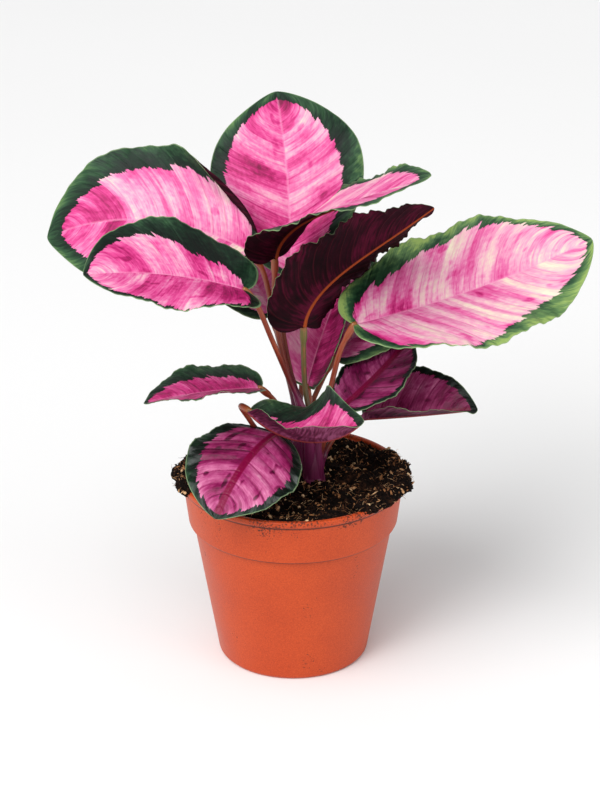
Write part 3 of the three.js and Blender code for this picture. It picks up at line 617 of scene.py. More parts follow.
# %% Green margin
outside = b.math("MAXIMUM", b.math("MULTIPLY", bite, -1.0), 0.0)
to_edge = b.math("DIVIDE", outside, b.math("ADD", b.math("ADD", outside, given["Edge"]), 0.01))
paler_out = b.math("SUBTRACT", to_edge, 0.5)
leafy = b.sum(given["Green"], (0.4, paler_out), (0.9, broad), (0.4, bands), (0.3, lines), (0.25, hairs),
              (0.55, mottle))
margin = b.ramp(leafy, [(0.1, srgb(6, 18, 12)), (0.36, srgb(18, 42, 27)), (0.6, srgb(44, 78, 50)),
                        (0.82, srgb(92, 126, 76)), (1.0, srgb(142, 168, 92))])
pale_rim = b.math("SUBTRACT", 1.0, b.step(given["Edge"], 0.2, 0.8))
margin = b.mix(b.math("MULTIPLY", pale_rim, b.math("ADD", 0.55, bands)), margin, srgb(150, 176, 128))
b.put(result["Color"], b.mix(inside, margin, rose))
b.put(result["Roughness"], b.sum(0.06, (0.25, bands), (0.2, mottle)))
relief = b.sum(0.0, (0.5, lines), (0.3, hairs), (-0.6, crease), (0.6, bands), (0.5, mottle))
b.put(result["Height"], relief)
print("leaf paint nodes", len(leaf_paint.nodes))

# %% [markdown]
# ## Painting the underside
# Underneath, the blade is deep maroon with an orange midrib, and the side veins show as
# faint paler lines. The low leaves are old and bleached to a rosy mauve. One function makes
# both finishes, because only their colours differ.

# %% Materials of a leaf
def read(bench, *names):
    """The mesh's own values as sockets."""
    return [bench.node("Attribute", out=2, attribute_name=name) for name in names]


def underside_material(name, dark, middle, pale, midrib_colour):
    """Streaks and clouds from dark to pale, faint lines on the side veins, and a midrib."""
    material, m, sockets = new_material(name, 0.65, 0.1)
    vein, across, rib, laterals = read(m, "vein", "across", "rib", "laterals")
    beats = m.math("MULTIPLY", vein, laterals)
    spread = m.joined(m.math("MULTIPLY", beats, 5.0), m.math("MULTIPLY", across, 3.0))
    streak = m.noise(spread, 1.0, 2.0)
    cloud = m.noise(m.node("TexCoord", out=3), 40.0, 3.0)
    skin = m.ramp(m.sum(0.5, (1.1, streak), (1.5, cloud)), [(0.2, dark), (0.5, middle), (0.8, pale)])
    vein_line = m.step(m.math("ABSOLUTE", m.math("SUBTRACT", m.math("FRACT", beats), 0.5)), 0.43, 0.5)
    skin = m.mix(m.math("MULTIPLY", vein_line, 0.1), skin, srgb(140, 44, 60))
    rib_line = m.math("SUBTRACT", 1.0, m.step(rib, 0.5, 1.1))
    m.put(sockets["Base Color"], m.mix(rib_line, skin, midrib_colour))
    m.put(sockets["Roughness"], m.sum(0.65, (0.3, streak)))
    relief = m.sum(0.0, (0.5, streak), (0.6, vein_line))
    m.put(sockets["Normal"], m.node("Bump", {"Height": relief, "Strength": 0.35, "Distance": 0.0006}))
    return material


maroon_underside = underside_material(
    "maroon_underside", srgb(18, 1, 6), srgb(38, 2, 15), srgb(78, 10, 38), srgb(160, 72, 34))
rosy_underside = underside_material(
    "rosy_underside", srgb(46, 8, 28), srgb(92, 28, 58), srgb(140, 70, 104), srgb(150, 60, 60))


def upper_material(name, paint, seed):
    """The upper face of one leaf: the leaf paint with this leaf's own values."""
    material, m, sockets = new_material(name + "_face", paint["roughness"], paint["gloss"])
    along, across, vein, centre, edge, rib, laterals = read(
        m, "along", "across", "vein", "centre", "edge", "rib", "laterals")
    painted = place_group(m, leaf_paint, {
        "Along": along, "Across": across, "Vein": vein, "Centre": centre, "Edge": edge, "Rib": rib,
        "Laterals": laterals, "Seed": seed, "Tone": paint["tone"], "Tip tone": paint["tip_tone"],
        "Painted light side": paint["side_tone"], "Dark tip": paint["dark_tip"], "Green": paint["green"],
        "Mauve": paint["mauve"], "Crease shade": paint["crease"], "Jag": paint["jag"]})
    m.put(sockets["Base Color"], painted["Color"])
    m.put(sockets["Roughness"], m.math("ADD", painted["Roughness"], paint["roughness"]))
    bump = m.node("Bump", {"Height": painted["Height"], "Strength": 0.5, "Distance": 0.0008})
    m.put(sockets["Normal"], bump)
    return material


print("undersides", maroon_underside.name, rosy_underside.name)

# %% [markdown]
# ## Making the blades
# The solid is 0.9 mm thick, so that it stays printable and easy to collide with. The living
# blade is thinner, so here the two faces lie 0.25 mm from the middle at the midrib and
# 0.12 mm at the edge, and the midrib stands out below as a keel that fades to the tip.

# %% Blade pieces
EDGE_HALF, RIB_HALF = 0.12, 0.25
ROWS_PER_MM, COLUMNS, ROLLED_COLUMNS = 1.35, 67, 91


def make_blade(name, leaf, paint, seed):
    """A closed sheet: the middle surface moved along its normals by half the thickness, up for the
    face and down for the underside, where the keel adds a bell curve of the midrib's distance. The
    face and the edge take the first material, and the underside takes the second."""
    rows, columns = int(ROWS_PER_MM * leaf["length"]), ROLLED_COLUMNS if paint["rolled"] else COLUMNS
    u = np.linspace(0, 1, rows)
    s = (u + (1 - np.cos(np.pi * u)) / 2) / 2
    t = np.linspace(-1, 1, columns)
    t = np.sign(t) * np.abs(t) ** 0.9
    points, normals, v, laterals = blade_surface(leaf, paint, s, t)
    rib = np.abs(t)[None] * half_width(leaf, s)[:, None]
    edge = (1 - np.abs(t))[None] * half_width(leaf, s)[:, None]
    thick = EDGE_HALF + (RIB_HALF - EDGE_HALF) * (1 - np.abs(t)[None]) + 0 * rib
    keel = (1.3 * (1 - s[:, None]) ** 0.8 + 0.15) * np.exp(-((rib / (1.1 - 0.6 * s[:, None])) ** 2))
    upper = points + normals * thick[..., None]
    lower = points - normals * (thick + keel)[..., None]
    faces = sheet_faces(rows, columns)
    of_face = np.concatenate([np.full(len(part), k) for k, part in zip((0, 1, 0), faces)])
    values = {
        "along": s[:, None] + 0 * rib, "across": t[None] + 0 * rib, "vein": v, "rib": rib, "edge": edge,
        "centre": centre_distance(leaf, paint, s, t), "laterals": laterals + 0 * rib,
    }
    values = {key: np.concatenate([value.ravel(), value.ravel()]) for key, value in values.items()}
    both = np.concatenate([upper.reshape(-1, 3), lower.reshape(-1, 3)])
    low = name.startswith("leaf_low")
    materials = [upper_material(name, paint, seed), rosy_underside if low else maroon_underside]
    add_piece(name.replace("leaf", "blade"), both, faces, materials, [name], values, of_face)
    return 2 * sum(len(f) for f in faces)


triangles = [make_blade(name, leaf, PAINT[name], 1.0 + 0.37 * k)
             for k, (name, leaf) in enumerate(LEAVES.items())]
print("blade triangles", sum(triangles), "most in one", max(triangles))

# %% [markdown]
# ## Stalks and sheaths
# Each stalk starts as a broad purple sheath in the shoot's crown, thins to an orange-brown
# stem, and swells into a short paler joint under the blade. A bevelled curve would give an
# even tube, so the tube is computed instead, with its own radius at each point.

# %% Paths and tubes
def smooth_path(points, count):
    """A centripetal Catmull-Rom curve through the points, at even distances along it."""
    points = np.array(points, float)
    points = np.vstack([2 * points[0] - points[1], points, 2 * points[-1] - points[-2]])
    p0, p1, p2, p3 = (points[i:len(points) - 3 + i, None] for i in range(4))
    d0, d1, d2 = (np.linalg.norm(b - a, axis=-1, keepdims=True) ** 0.5
                  for a, b in ((p0, p1), (p1, p2), (p2, p3)))
    go = ((p1 - p0) / d0 - (p2 - p0) / (d0 + d1) + (p2 - p1) / d1) * d1
    come = ((p2 - p1) / d1 - (p3 - p1) / (d1 + d2) + (p3 - p2) / d2) * d1
    x = np.linspace(0, 1, 40, endpoint=False)[None, :, None]
    curve = (2 * x**3 - 3 * x**2 + 1) * p1 + (x**3 - 2 * x**2 + x) * go + (3 * x**2 - 2 * x**3) * p2 \
        + (x**3 - x**2) * come
    curve = np.vstack([curve.reshape(-1, 3), points[-2]])
    run = np.concatenate([[0], np.cumsum(np.linalg.norm(np.diff(curve, axis=0), axis=1))])
    even = np.linspace(0, run[-1], count)
    return np.stack([np.interp(even, run, curve[:, k]) for k in range(3)], -1), run[-1]


def tube(path, radius, sides, flat=0.0, turn=0.0):
    """A closed tube: rings of points round the path, of the given radii, wider one way than the
    other by twice the share flat."""
    ahead = unit(np.gradient(path, axis=0))
    side = unit(np.cross(ahead, [0.31, 0.94, 0.11]))
    other = np.cross(ahead, side)
    angle = np.linspace(0, 2 * np.pi, sides, endpoint=False)[None, :, None]
    wide = (1 + flat) * np.cos(angle + turn) * side[:, None]
    narrow = (1 - flat) * np.sin(angle + turn) * other[:, None]
    rings = path[:, None] + radius[:, None, None] * (wide + narrow)
    return np.vstack([rings.reshape(-1, 3), path[:1], path[-1:]]), *capped_rings(len(path), sides)


straight = np.stack([np.zeros(5), np.zeros(5), np.arange(5)], -1)
print("a tube of 5 rings has", len(tube(straight, np.ones(5), 8)[0]), "points")

# %% [markdown]
# The skin's colour follows the stalk: purple at the sheath, brown on the stem, and tan at the
# joint. A ramp of the share along the stalk gives that, and a little noise breaks its lines.
# One stalk is greener than the others.

# %% Stalk finish
stalk_finish, m, sockets = new_material("stalk_finish", 0.36)
share, tint, round_stalk = read(m, "share", "tint", "round_stalk")
spread = m.joined(m.math("MULTIPLY", round_stalk, 6.0), m.math("MULTIPLY", share, 9.0), tint)
grain = m.noise(spread, 1.0, 3.0)
place = m.sum(share, (0.08, grain), (0.08, tint), (0.03, round_stalk))
skin = m.ramp(place, [(0.0, srgb(66, 12, 40)), (0.22, srgb(116, 26, 76)), (0.46, srgb(98, 22, 60)),
                      (0.54, srgb(104, 36, 28)), (0.8, srgb(142, 60, 34)), (1.0, srgb(156, 76, 46))])
green_skin = m.ramp(place, [(0.2, srgb(84, 20, 52)), (0.46, srgb(80, 30, 48)), (0.56, srgb(74, 56, 32)),
                            (1.0, srgb(112, 108, 56))])
skin = m.mix(m.step(tint, 0.85, 0.95), skin, green_skin)
worn_skin = m.ramp(place, [(0.4, srgb(150, 60, 104)), (0.6, srgb(176, 92, 58))])
skin = m.mix(m.step(grain, 0.0, 0.3), skin, worn_skin)
m.put(sockets["Base Color"], m.mix(m.step(share, 0.97, 1.0), skin, srgb(150, 92, 46)))
m.put(sockets["Normal"], m.node("Bump", {"Height": grain, "Strength": 0.3, "Distance": 0.0005}))
print("stalk finish nodes", len(stalk_finish.node_tree.nodes))

# %% [markdown]
# The sheath's cross section isn't round: it clasps the younger stalks, so it is flattened and
# its radius shrinks in a long taper. The table of shoots gives the place of each crown, its
# radius, and how far from its middle the stalks start.

# %% One stalk
SOIL_LEVEL = 107.5
SHOOTS = {
    "shoot_main": ((12, 0), 6.5, 3.0),
    "shoot_low": ((-10, -16), 4.6, 1.1),
    "shoot_back": ((3, 24), 5.0, 2.0),
}
SHEATH_RADIUS, STEM_RADIUS, SHEATH_SHARE = 3.3, 1.45, 0.42
JOINT_SWELL, JOINT_LENGTH = 0.55, 9
STALK_STEPS, STALK_SIDES, STALK_FLAT = 64, 14, 0.074


def stalk(leaf, at, spread, tint):
    """Sheath, stem and joint of one leaf, from its place in the crown to the foot of its blade."""
    away = np.arctan2(leaf["base"][1] - at[1], leaf["base"][0] - at[0])
    foot = (at[0] + spread * np.cos(away), at[1] + spread * np.sin(away))
    inward = np.array(leaf["base"]) + 1.5 * along_blade(leaf, np.zeros(1))[0][0]
    nodes = [(*foot, SOIL_LEVEL - 8), (*foot, SOIL_LEVEL + 4), *leaf["stem"], tuple(leaf["base"])]
    path, length = smooth_path(nodes, STALK_STEPS)
    path = np.vstack([path, inward])
    share = np.append(np.linspace(0, 1, STALK_STEPS), 1.0)
    radius = SHEATH_RADIUS + (STEM_RADIUS - SHEATH_RADIUS) * smooth_step(share, 0.08, 0.5)
    to_tip = (1 - share) * length
    joint = (1 - smooth_step(to_tip, JOINT_LENGTH - 2, JOINT_LENGTH + 2)) * smooth_step(to_tip, 0, 2)
    lip = 0.35 * np.exp(-(((share - SHEATH_SHARE + 0.02) / 0.025) ** 2)) * (share < SHEATH_SHARE)
    points, quads, tris = tube(path, radius + JOINT_SWELL * joint + lip, STALK_SIDES, STALK_FLAT, away)
    share = np.concatenate([np.repeat(share, STALK_SIDES), [0, 1]])
    once_round = np.sin(np.linspace(0, 2 * np.pi, STALK_SIDES, endpoint=False))
    round_stalk = np.concatenate([np.tile(once_round, len(path)), [0, 0]])
    return points, quads, tris, share, np.full(len(share), tint), round_stalk


print("points of one stalk", len(stalk(LEAVES["leaf_top"], (12, 0), 3.0, 0.0)[0]))

# %% [markdown]
# A few pointed scales close the foot of each shoot. Each is a sheet bent round the crown, and
# the angle that it covers narrows to a point as it rises.

# %% Scales of the crown
SCALE_ROWS, SCALE_COLUMNS, SCALE_HALF = 14, 9, 0.35


def scale_leaf(at, radius, turn, height):
    """A pointed scale that clasps the crown: a tall half cone, thickened to a closed sheet."""
    u, w = np.linspace(0, 1, SCALE_ROWS)[:, None], np.linspace(-1, 1, SCALE_COLUMNS)[None]
    angle = turn + w * 1.35 * (1 - u**2) ** 0.5
    out = radius * (1.05 + 0.10 * np.sin(np.pi * u)) * (1 - 0.45 * u) + 0 * w
    z = SOIL_LEVEL - 3 + height * u - 0.15 * height * w**2 * (1 - u)
    points = np.vstack([
        np.stack([at[0] + (out + shift) * np.cos(angle), at[1] + (out + shift) * np.sin(angle), z], -1)
        for shift in (SCALE_HALF, -SCALE_HALF)]).reshape(-1, 3)
    quads = np.vstack(sheet_faces(SCALE_ROWS, SCALE_COLUMNS))[:, ::-1]
    share, tint = np.full(len(points), 0.12), np.full(len(points), 0.3)
    return points, quads, NO_TRIS, share, tint, np.tile(np.sin(3 * w + 0 * u).ravel(), 2)


print("points of one scale", len(scale_leaf((0, 0), 5.0, 0.0, 20)[0]))

# %% [markdown]
# Each shoot is one piece: its stalks, its crown and its scales are joined, because they grow
# together. The stalk of leaf_turned has the greener tint.

# %% Shoot pieces
def join_parts(parts):
    """Several parts as one: points stacked, faces renumbered, values end to end."""
    starts = np.cumsum([0] + [len(part[0]) for part in parts[:-1]])
    points = np.vstack([part[0] for part in parts])
    quads = np.vstack([part[1] + n for part, n in zip(parts, starts)])
    tris = np.vstack([part[2] + n for part, n in zip(parts, starts)])
    values = [np.concatenate([part[k] for part in parts]) for k in range(3, len(parts[0]))]
    return points, quads, tris, values


CROWN_DEPTH, CROWN_HEIGHT, CROWN_SIDES, SCALES = 28, 6, 20, 4
for name, (at, radius, spread) in SHOOTS.items():
    own = [(key, leaf) for key, leaf in LEAVES.items() if "shoot_" + leaf["shoot"] == name]
    parts = [stalk(leaf, at, spread, 1.0 if key == "leaf_turned" else (0.29 * k) % 0.7)
             for k, (key, leaf) in enumerate(own)]
    heights = np.linspace(SOIL_LEVEL - CROWN_DEPTH, SOIL_LEVEL + CROWN_HEIGHT, 30)
    swell = 1 - 0.55 * np.clip((heights - SOIL_LEVEL - 1) / (CROWN_HEIGHT - 1), 0, 1) ** 2
    crown = np.stack([0 * heights + at[0], 0 * heights + at[1], heights], -1)
    points, quads, tris = tube(crown, radius * swell, CROWN_SIDES)
    flat = np.full(len(points), 0.1)
    parts.append((points, quads, tris, flat, flat * 2, flat))
    for k in range(SCALES):
        parts.append(scale_leaf(at, radius * (1.0 - 0.06 * k), 1.1 + 1.75 * k, 15 + 5 * k))
    points, quads, tris, (share, tint, round_stalk) = join_parts(parts)
    add_piece(name.replace("shoot", "stalks"), points, [quads, tris], [stalk_finish], [name],
              {"share": share, "tint": tint, "round_stalk": round_stalk})
    print(name, "stalks", len(own), "faces", len(quads) + len(tris))

# %% [markdown]
# ## The nursery pot
# The pot is thin moulded plastic: a slender wall, a step out to a deep collar, and a rounded
# lip. It is a turned profile, which Blender's Spin or Screw would also make. Here the corners
# of the profile are rounded by small curves first, and the drainage holes are cut after.

# %% Pot profile
# Each corner of the profile has a radius, a height and the size of its rounding.
POT_HEIGHT, RIM_RADIUS, COLLAR_HEIGHT, COLLAR_FOOT = 112.0, 65.0, 28.0, 60.5
COLLAR_STEP, FOOT_RADIUS, POT_WALL, POT_FLOOR, LIP = 2.6, 44.0, 2.0, 3.2, 3.0
collar_z = POT_HEIGHT - COLLAR_HEIGHT
POT_PROFILE = [
    (0.01, 0, 0), (16, 0, 0.3), (16.9, 1.2, 0.3), (36.1, 1.2, 0.3), (37, 0, 0.3),
    (FOOT_RADIUS - 1.4, 0, 0.8), (FOOT_RADIUS, 1.6, 0.8),
    (COLLAR_FOOT - COLLAR_STEP, collar_z - 0.6, 0.3), (COLLAR_FOOT - 0.4, collar_z, 0.4),
    (COLLAR_FOOT + 0.2, collar_z + 1.0, 0.5), (RIM_RADIUS - 1.5, POT_HEIGHT - 4.6, 0.5),
    (RIM_RADIUS, POT_HEIGHT - 3.0, 0.8), (RIM_RADIUS, POT_HEIGHT, 1.1), (RIM_RADIUS - LIP, POT_HEIGHT, 1.1),
    (RIM_RADIUS - LIP, POT_HEIGHT - 2.2, 0.5), (RIM_RADIUS - LIP - 0.6, POT_HEIGHT - 2.8, 0.3),
    (COLLAR_FOOT - POT_WALL, collar_z + 0.9, 0.4),
    (COLLAR_FOOT - COLLAR_STEP - POT_WALL, collar_z - 0.9, 0.4),
    (FOOT_RADIUS - POT_WALL, POT_FLOOR + 1.7, 1.0), (FOOT_RADIUS - POT_WALL - 1.7, POT_FLOOR, 0.5),
    (0.01, POT_FLOOR, 0),
]


def rounded_profile(profile, steps=6):
    """Each corner replaced by a short curve between points its radius away on either side."""
    made = []
    for k, (radius, height, rounding) in enumerate(profile):
        here = np.array([radius, height], float)
        if rounding == 0:
            made.append(here[None])
            continue
        before = unit(np.array(profile[k - 1][:2]) - here)
        behind = unit(np.array(profile[k + 1][:2]) - here)
        x = np.linspace(0, 1, steps)[:, None]
        made.append((1 - x) ** 2 * (here + rounding * before) + 2 * x * (1 - x) * here
                    + x**2 * (here + rounding * behind))
    return np.vstack(made)


def turned(profile, sides):
    """The profile carried round the upright axis as a closed surface."""
    angle = np.linspace(0, 2 * np.pi, sides, endpoint=False)[None]
    r, z = profile[:, :1], profile[:, 1:]
    points = np.stack([r * np.cos(angle), r * np.sin(angle), z + 0 * angle], -1).reshape(-1, 3)
    ends = np.array([[0, 0, profile[0, 1]], [0, 0, profile[-1, 1]]])
    return np.vstack([points, ends]), *capped_rings(len(profile), sides)


print("points of the rounded profile", len(rounded_profile(POT_PROFILE)))

# %% [markdown]
# The plastic is a warm terracotta colour with a satin skin. It is slightly uneven, thin lines
# of painted shade darken the steps below the lip and under the collar, and fine specks of peat
# dust cling near the rim. The dust is a group, because other things that stand in peat could wear it as
# well.

# %% Pot finish
dust, b, given, result = new_group(
    "peat_dust", [("Place", "Vector", (0, 0, 0)), ("Amount", "Float", 0.5)], [("Mask", "Float")])
specks = b.noise(given["Place"], 900.0, 2.0)
patches = b.noise(given["Place"], 60.0, 3.0)
less = b.math("SUBTRACT", given["Amount"], 1.0)
b.put(result["Mask"], b.step(b.sum(specks, (0.8, patches), (0.25, less)), 0.02, 0.09))

LIP_SHADE_LINE, COLLAR_SHADE_LINE = 107.4, 84.0
pot_finish, m, sockets = new_material("terracotta_plastic", 0.44, 0.3)
place = m.node("TexCoord", out=3)
height = m.node("SeparateXYZ", {0: place}, out=2)
cloud = m.noise(place, 25.0, 4.0, 0.6)
fine = m.noise(place, 1400.0, 2.0)
plastic = m.ramp(m.sum(0.5, (0.5, cloud), (0.9, fine)),
                 [(0.2, srgb(166, 54, 16)), (0.5, srgb(188, 68, 23)), (0.85, srgb(208, 84, 34))])
near_lip = m.step(height, 0.094, 0.112)
mask = place_group(m, dust, {"Place": place, "Amount": m.math("MULTIPLY", near_lip, 0.8)})["Mask"]
# Painted shade: a dark line in the step under the lip and another under the collar, where the overhang
# shades the wall.
for line in (LIP_SHADE_LINE, COLLAR_SHADE_LINE):
    away = m.math("ABSOLUTE", m.math("SUBTRACT", height, line * MM))
    plastic = m.mix(m.math("MULTIPLY", m.step(away, 0.0009, 0.0003), 0.85), plastic, srgb(70, 20, 8))
m.put(sockets["Base Color"], m.mix(m.math("MULTIPLY", mask, 0.8), plastic, srgb(44, 28, 22)))
m.put(sockets["Roughness"], m.sum(0.42, (0.3, cloud), (0.2, mask)))
relief = m.sum(0.0, (1.0, fine), (2.0, mask))
m.put(sockets["Normal"], m.node("Bump", {"Height": relief, "Strength": 0.25, "Distance": 0.0003}))
print("pot finish nodes", len(pot_finish.node_tree.nodes))

# %% [markdown]
# Eight round holes drain the foot. Cutters are joined into one mesh and taken away from the
# pot by a Boolean, and the result is kept as the pot's own mesh, so no modifier is left.

# %% Pot piece
POT_SIDES, DRAIN_HOLES, DRAIN_RADIUS, DRAIN_RING, DRAIN_SIDES = 160, 8, 4.5, 27, 28
points, quads, tris = turned(rounded_profile(POT_PROFILE), POT_SIDES)
pot = add_piece("nursery_pot", points, [quads, tris], [pot_finish], ["pot"])
cutters = []
for k in range(DRAIN_HOLES):
    turn = (k + 0.5) / DRAIN_HOLES * 2 * np.pi
    at = DRAIN_RING * np.array([np.cos(turn), np.sin(turn)])
    line = np.array([[*at, z] for z in np.linspace(-6, 8, 4)])
    cutters.append(tube(line, np.full(len(line), DRAIN_RADIUS), DRAIN_SIDES))
points, quads, tris, _ = join_parts(cutters)
cutter_mesh = bpy.data.meshes.new("drain_cutter")
cutter_mesh.from_pydata((points * MM).tolist(), [], quads.tolist() + tris.tolist())
cutter = new_object("drain_cutter", cutter_mesh)
drains = pot.modifiers.new("drains", "BOOLEAN")
drains.operation = "DIFFERENCE"
drains.object = cutter
drains.solver = "EXACT"
bpy.context.view_layer.update()
cut = bpy.data.meshes.new_from_object(pot.evaluated_get(bpy.context.evaluated_depsgraph_get()))
pot.modifiers.clear()
pot.data = cut
bpy.data.objects.remove(cutter)
print("pot faces", len(cut.polygons), "height mm", round(max(v.co.z for v in cut.vertices) / MM, 1))

# %% [markdown]
# ## The peat
# Potting peat is nearly black when damp, crumbly, and full of tan fibres, bark chips and a
# few white grains. It heaps up at the wall and has spilled over the rim in places. The bed
# is a height over a disc. Particles aren't used, because the copies have to be real surface.

# %% Height of the peat
RIM_INSIDE, SOIL_RISE = 61.4, 3.5
SOIL_WAVES = [(1.3, 0.16, 0.19, 1.3), (0.9, 0.31, -0.27, 0.0), (0.65, 0.43, 0.38, 3.6)]
SOIL_CRUMBS = [(0.9, 4.1, 5), (0.7, 1.9, 6), (0.4, 0.9, 7)]
SPILLS = [
    (166, 60, (7, 11, 4)), (180, 62, (8.5, 12, 5.5)), (195, 61.5, (8, 12, 5)), (-44, 60, (7, 11, 4)),
    (-29, 61, (8, 12, 5.5)), (-13, 61.5, (8.5, 12, 6.5)), (4, 60.5, (8, 12, 6)), (19, 59.5, (7, 11, 4.5)),
]


def soil_height(x, y):
    """The frame's soft lumps, which climb to the wall, with three sizes of crumb on top."""
    out = np.hypot(x, y) / (RIM_RADIUS - LIP)
    lumps = sum(h * np.sin(a * x + b * y + p) for h, a, b, p in SOIL_WAVES)
    rough = sum(h * lattice_noise(x, y, cell, seed) for h, cell, seed in SOIL_CRUMBS)
    return SOIL_LEVEL + SOIL_RISE * out**3 + lumps * (1 - 0.5 * out**4) + rough


edge_heights = soil_height(RIM_INSIDE * np.cos(np.arange(6)), RIM_INSIDE * np.sin(np.arange(6)))
print("peat at the wall, mm below the rim", np.round(POT_HEIGHT - edge_heights, 1).tolist())

# %% [markdown]
# One finish serves all the peat. Each piece stores a tone for every crumb: dark peat is low,
# bark and fibres are higher, and white grains are highest. Fine noise adds grit to it.

# %% Peat finish
peat, m, sockets = new_material("peat", 0.95, 0.1)
tone, = read(m, "tone")
place = m.node("TexCoord", out=3)
grit = m.noise(place, 700.0, 4.0, 0.65)
earth = m.ramp(m.sum(tone, (0.5, grit)), [
    (0.0, srgb(6, 4, 3)), (0.35, srgb(20, 12, 9)), (0.55, srgb(60, 36, 24)), (0.78, srgb(164, 112, 72)),
    (0.95, srgb(226, 190, 146))])
m.put(sockets["Base Color"], earth)
m.put(sockets["Normal"], m.node("Bump", {"Height": grit, "Strength": 0.7, "Distance": 0.0008}))
print("peat nodes", len(peat.node_tree.nodes))

# %% [markdown]
# The bed is a disc of rings, whose last rings run down inside the wall and close below. The
# heaps on the rim are squashed balls. They are part of the same piece, as in the frame. The
# rows of each heap from about its middle up are kept, as places for crumbs to lie.

# %% Bed and heaps
HEAP_ROWS, HEAP_COLUMNS, HEAP_TRIM, HEAP_TOP_ROW = 30, 56, 0.92, 13
rings, sides = 92, 300
radius = np.linspace(0.004, 1, rings)[:, None] * (RIM_INSIDE - 0.6)
angle = np.linspace(0, 2 * np.pi, sides, endpoint=False)[None]
x, y = radius * np.cos(angle), radius * np.sin(angle)
bed = np.stack([x, y, soil_height(x, y)], -1)
below = [(RIM_INSIDE - 1.2, POT_HEIGHT - 6), (COLLAR_FOOT - 2.6, collar_z + 1.8),
         (COLLAR_FOOT - 5.2, collar_z - 0.9), (FOOT_RADIUS - 4.3, POT_FLOOR + 0.3), (0.01, POT_FLOOR + 0.3)]
walls = np.stack([np.stack([r * np.cos(angle[0]), r * np.sin(angle[0]), z + 0 * angle[0]], -1)
                  for r, z in below])
bed = np.concatenate([bed, walls])
bed_tone = np.concatenate([0.30 + 0.22 * lattice_noise(x, y, 2.3, 9), np.full((len(below), sides), 0.3)])
parts = [(bed.reshape(-1, 3), grid_quads(len(bed), sides, ring=True), NO_TRIS, bed_tone.ravel())]


def heap(turn, reach, size, seed):
    """A squashed ball with crumbly bumps: the radius is 1 plus noise on its points, and the ball is
    drawn a little smaller than the frame's plain heap, because the bumps stand out from it."""
    a = np.linspace(0, 2 * np.pi, HEAP_COLUMNS, endpoint=False)[None]
    e = np.linspace(-1.55, 1.55, HEAP_ROWS)[:, None]
    x, y, z = np.cos(e) * np.cos(a), np.cos(e) * np.sin(a), np.sin(e) + 0 * a
    bumps = 0.16 * lattice_noise(3 * x + seed, 3 * y + z, 1.0, seed)
    bumps = bumps + 0.13 * lattice_noise(9 * x, 9 * y + 9 * z, 1.0, seed + 1)
    scale = HEAP_TRIM * np.array(size)[:, None, None]
    x, y, z = np.stack([x, y, z]) * (1 + bumps * np.cos(e) ** 0.5) * scale
    c, s = np.cos(np.radians(turn)), np.sin(np.radians(turn))
    x, y = (x + reach) * c - y * s, (x + reach) * s + y * c
    points = np.stack([x, y, z + POT_HEIGHT - 0.5], -1)
    tone = 0.30 + 0.2 * lattice_noise(x, y, 2.0, seed)
    quads = grid_quads(HEAP_ROWS, HEAP_COLUMNS, ring=True)[:, ::-1]
    return points, (points.reshape(-1, 3), quads, NO_TRIS, tone.ravel())


heap_points = []
for k, (turn, reach, size) in enumerate(SPILLS):
    surface, part = heap(turn, reach, size, 20 + k)
    heap_points.append(surface[HEAP_TOP_ROW:].reshape(-1, 3))
    parts.append(part)
points, quads, tris, (tone,) = join_parts(parts)
add_piece("peat_bed", points, [quads], [peat], ["soil"], {"tone": tone})
print("peat bed faces", len(quads))

# %% [markdown]
# Crumbs, chips and fibres are scattered as real copies. All copies of one shape are made at
# once: random turns and sizes are arrays, and each copy's corners are jittered, so no two
# crumbs are alike. A crumb starts as a ball of twenty triangles, whose twelve corners are
# those of three golden rectangles at right angles.

# %% Crumbs
rng = np.random.default_rng(11)
GOLD = (1 + 5**0.5) / 2
corners = [(-1, GOLD, 0), (1, GOLD, 0), (-1, -GOLD, 0), (1, -GOLD, 0)]
CRUMB = unit(np.vstack([np.roll(corners, k, axis=1) for k in range(3)]))
CRUMB_FACES = np.array([
    (0, 11, 5), (0, 5, 1), (0, 1, 7), (0, 7, 10), (0, 10, 11), (1, 5, 9), (5, 11, 4), (11, 10, 2),
    (10, 7, 6), (7, 1, 8), (3, 9, 4), (3, 4, 2), (3, 2, 6), (3, 6, 8), (3, 8, 9), (4, 9, 5),
    (2, 4, 11), (6, 2, 10), (8, 6, 7), (9, 8, 1)])


def random_turns(count):
    """Turning matrices of random unit quaternions."""
    w, x, y, z = unit(rng.normal(size=(count, 4))).T
    turns = np.stack([1 - 2 * (y * y + z * z), 2 * (x * y - w * z), 2 * (x * z + w * y),
                      2 * (x * y + w * z), 1 - 2 * (x * x + z * z), 2 * (y * z - w * x),
                      2 * (x * z - w * y), 2 * (y * z + w * x), 1 - 2 * (x * x + y * y)], -1)
    return turns.reshape(-1, 3, 3)


def places(count, share_on_heaps, lift):
    """Random places on the bed and, for a share of them, on the spilled heaps."""
    on_heaps = int(count * share_on_heaps)
    r = (RIM_INSIDE - 1.5) * rng.random(count - on_heaps) ** 0.5
    a = 2 * np.pi * rng.random(count - on_heaps)
    bed = np.stack([r * np.cos(a), r * np.sin(a), soil_height(r * np.cos(a), r * np.sin(a)) + lift], -1)
    cloud = np.concatenate(heap_points)
    return np.vstack([bed, cloud[rng.integers(0, len(cloud), on_heaps)]])


def crumbs(centres, size, stretch, tone):
    """Copies of a twelve-cornered crumb, jittered, stretched, turned and moved to the centres."""
    count, each = len(centres), len(CRUMB)
    shape = CRUMB[None] * (1 + 0.28 * rng.uniform(-1, 1, (count, each, 1))) * stretch
    shape = shape * (size * (0.5 + rng.random((count, 1, 1))))
    points = np.einsum("nij,nkj->nki", random_turns(count), shape) + centres[:, None]
    faces = CRUMB_FACES[None] + each * np.arange(count)[:, None, None]
    return points.reshape(-1, 3), faces.reshape(-1, 3), np.repeat(tone, each)


print("a crumb has", len(CRUMB), "corners and", len(CRUMB_FACES), "faces")

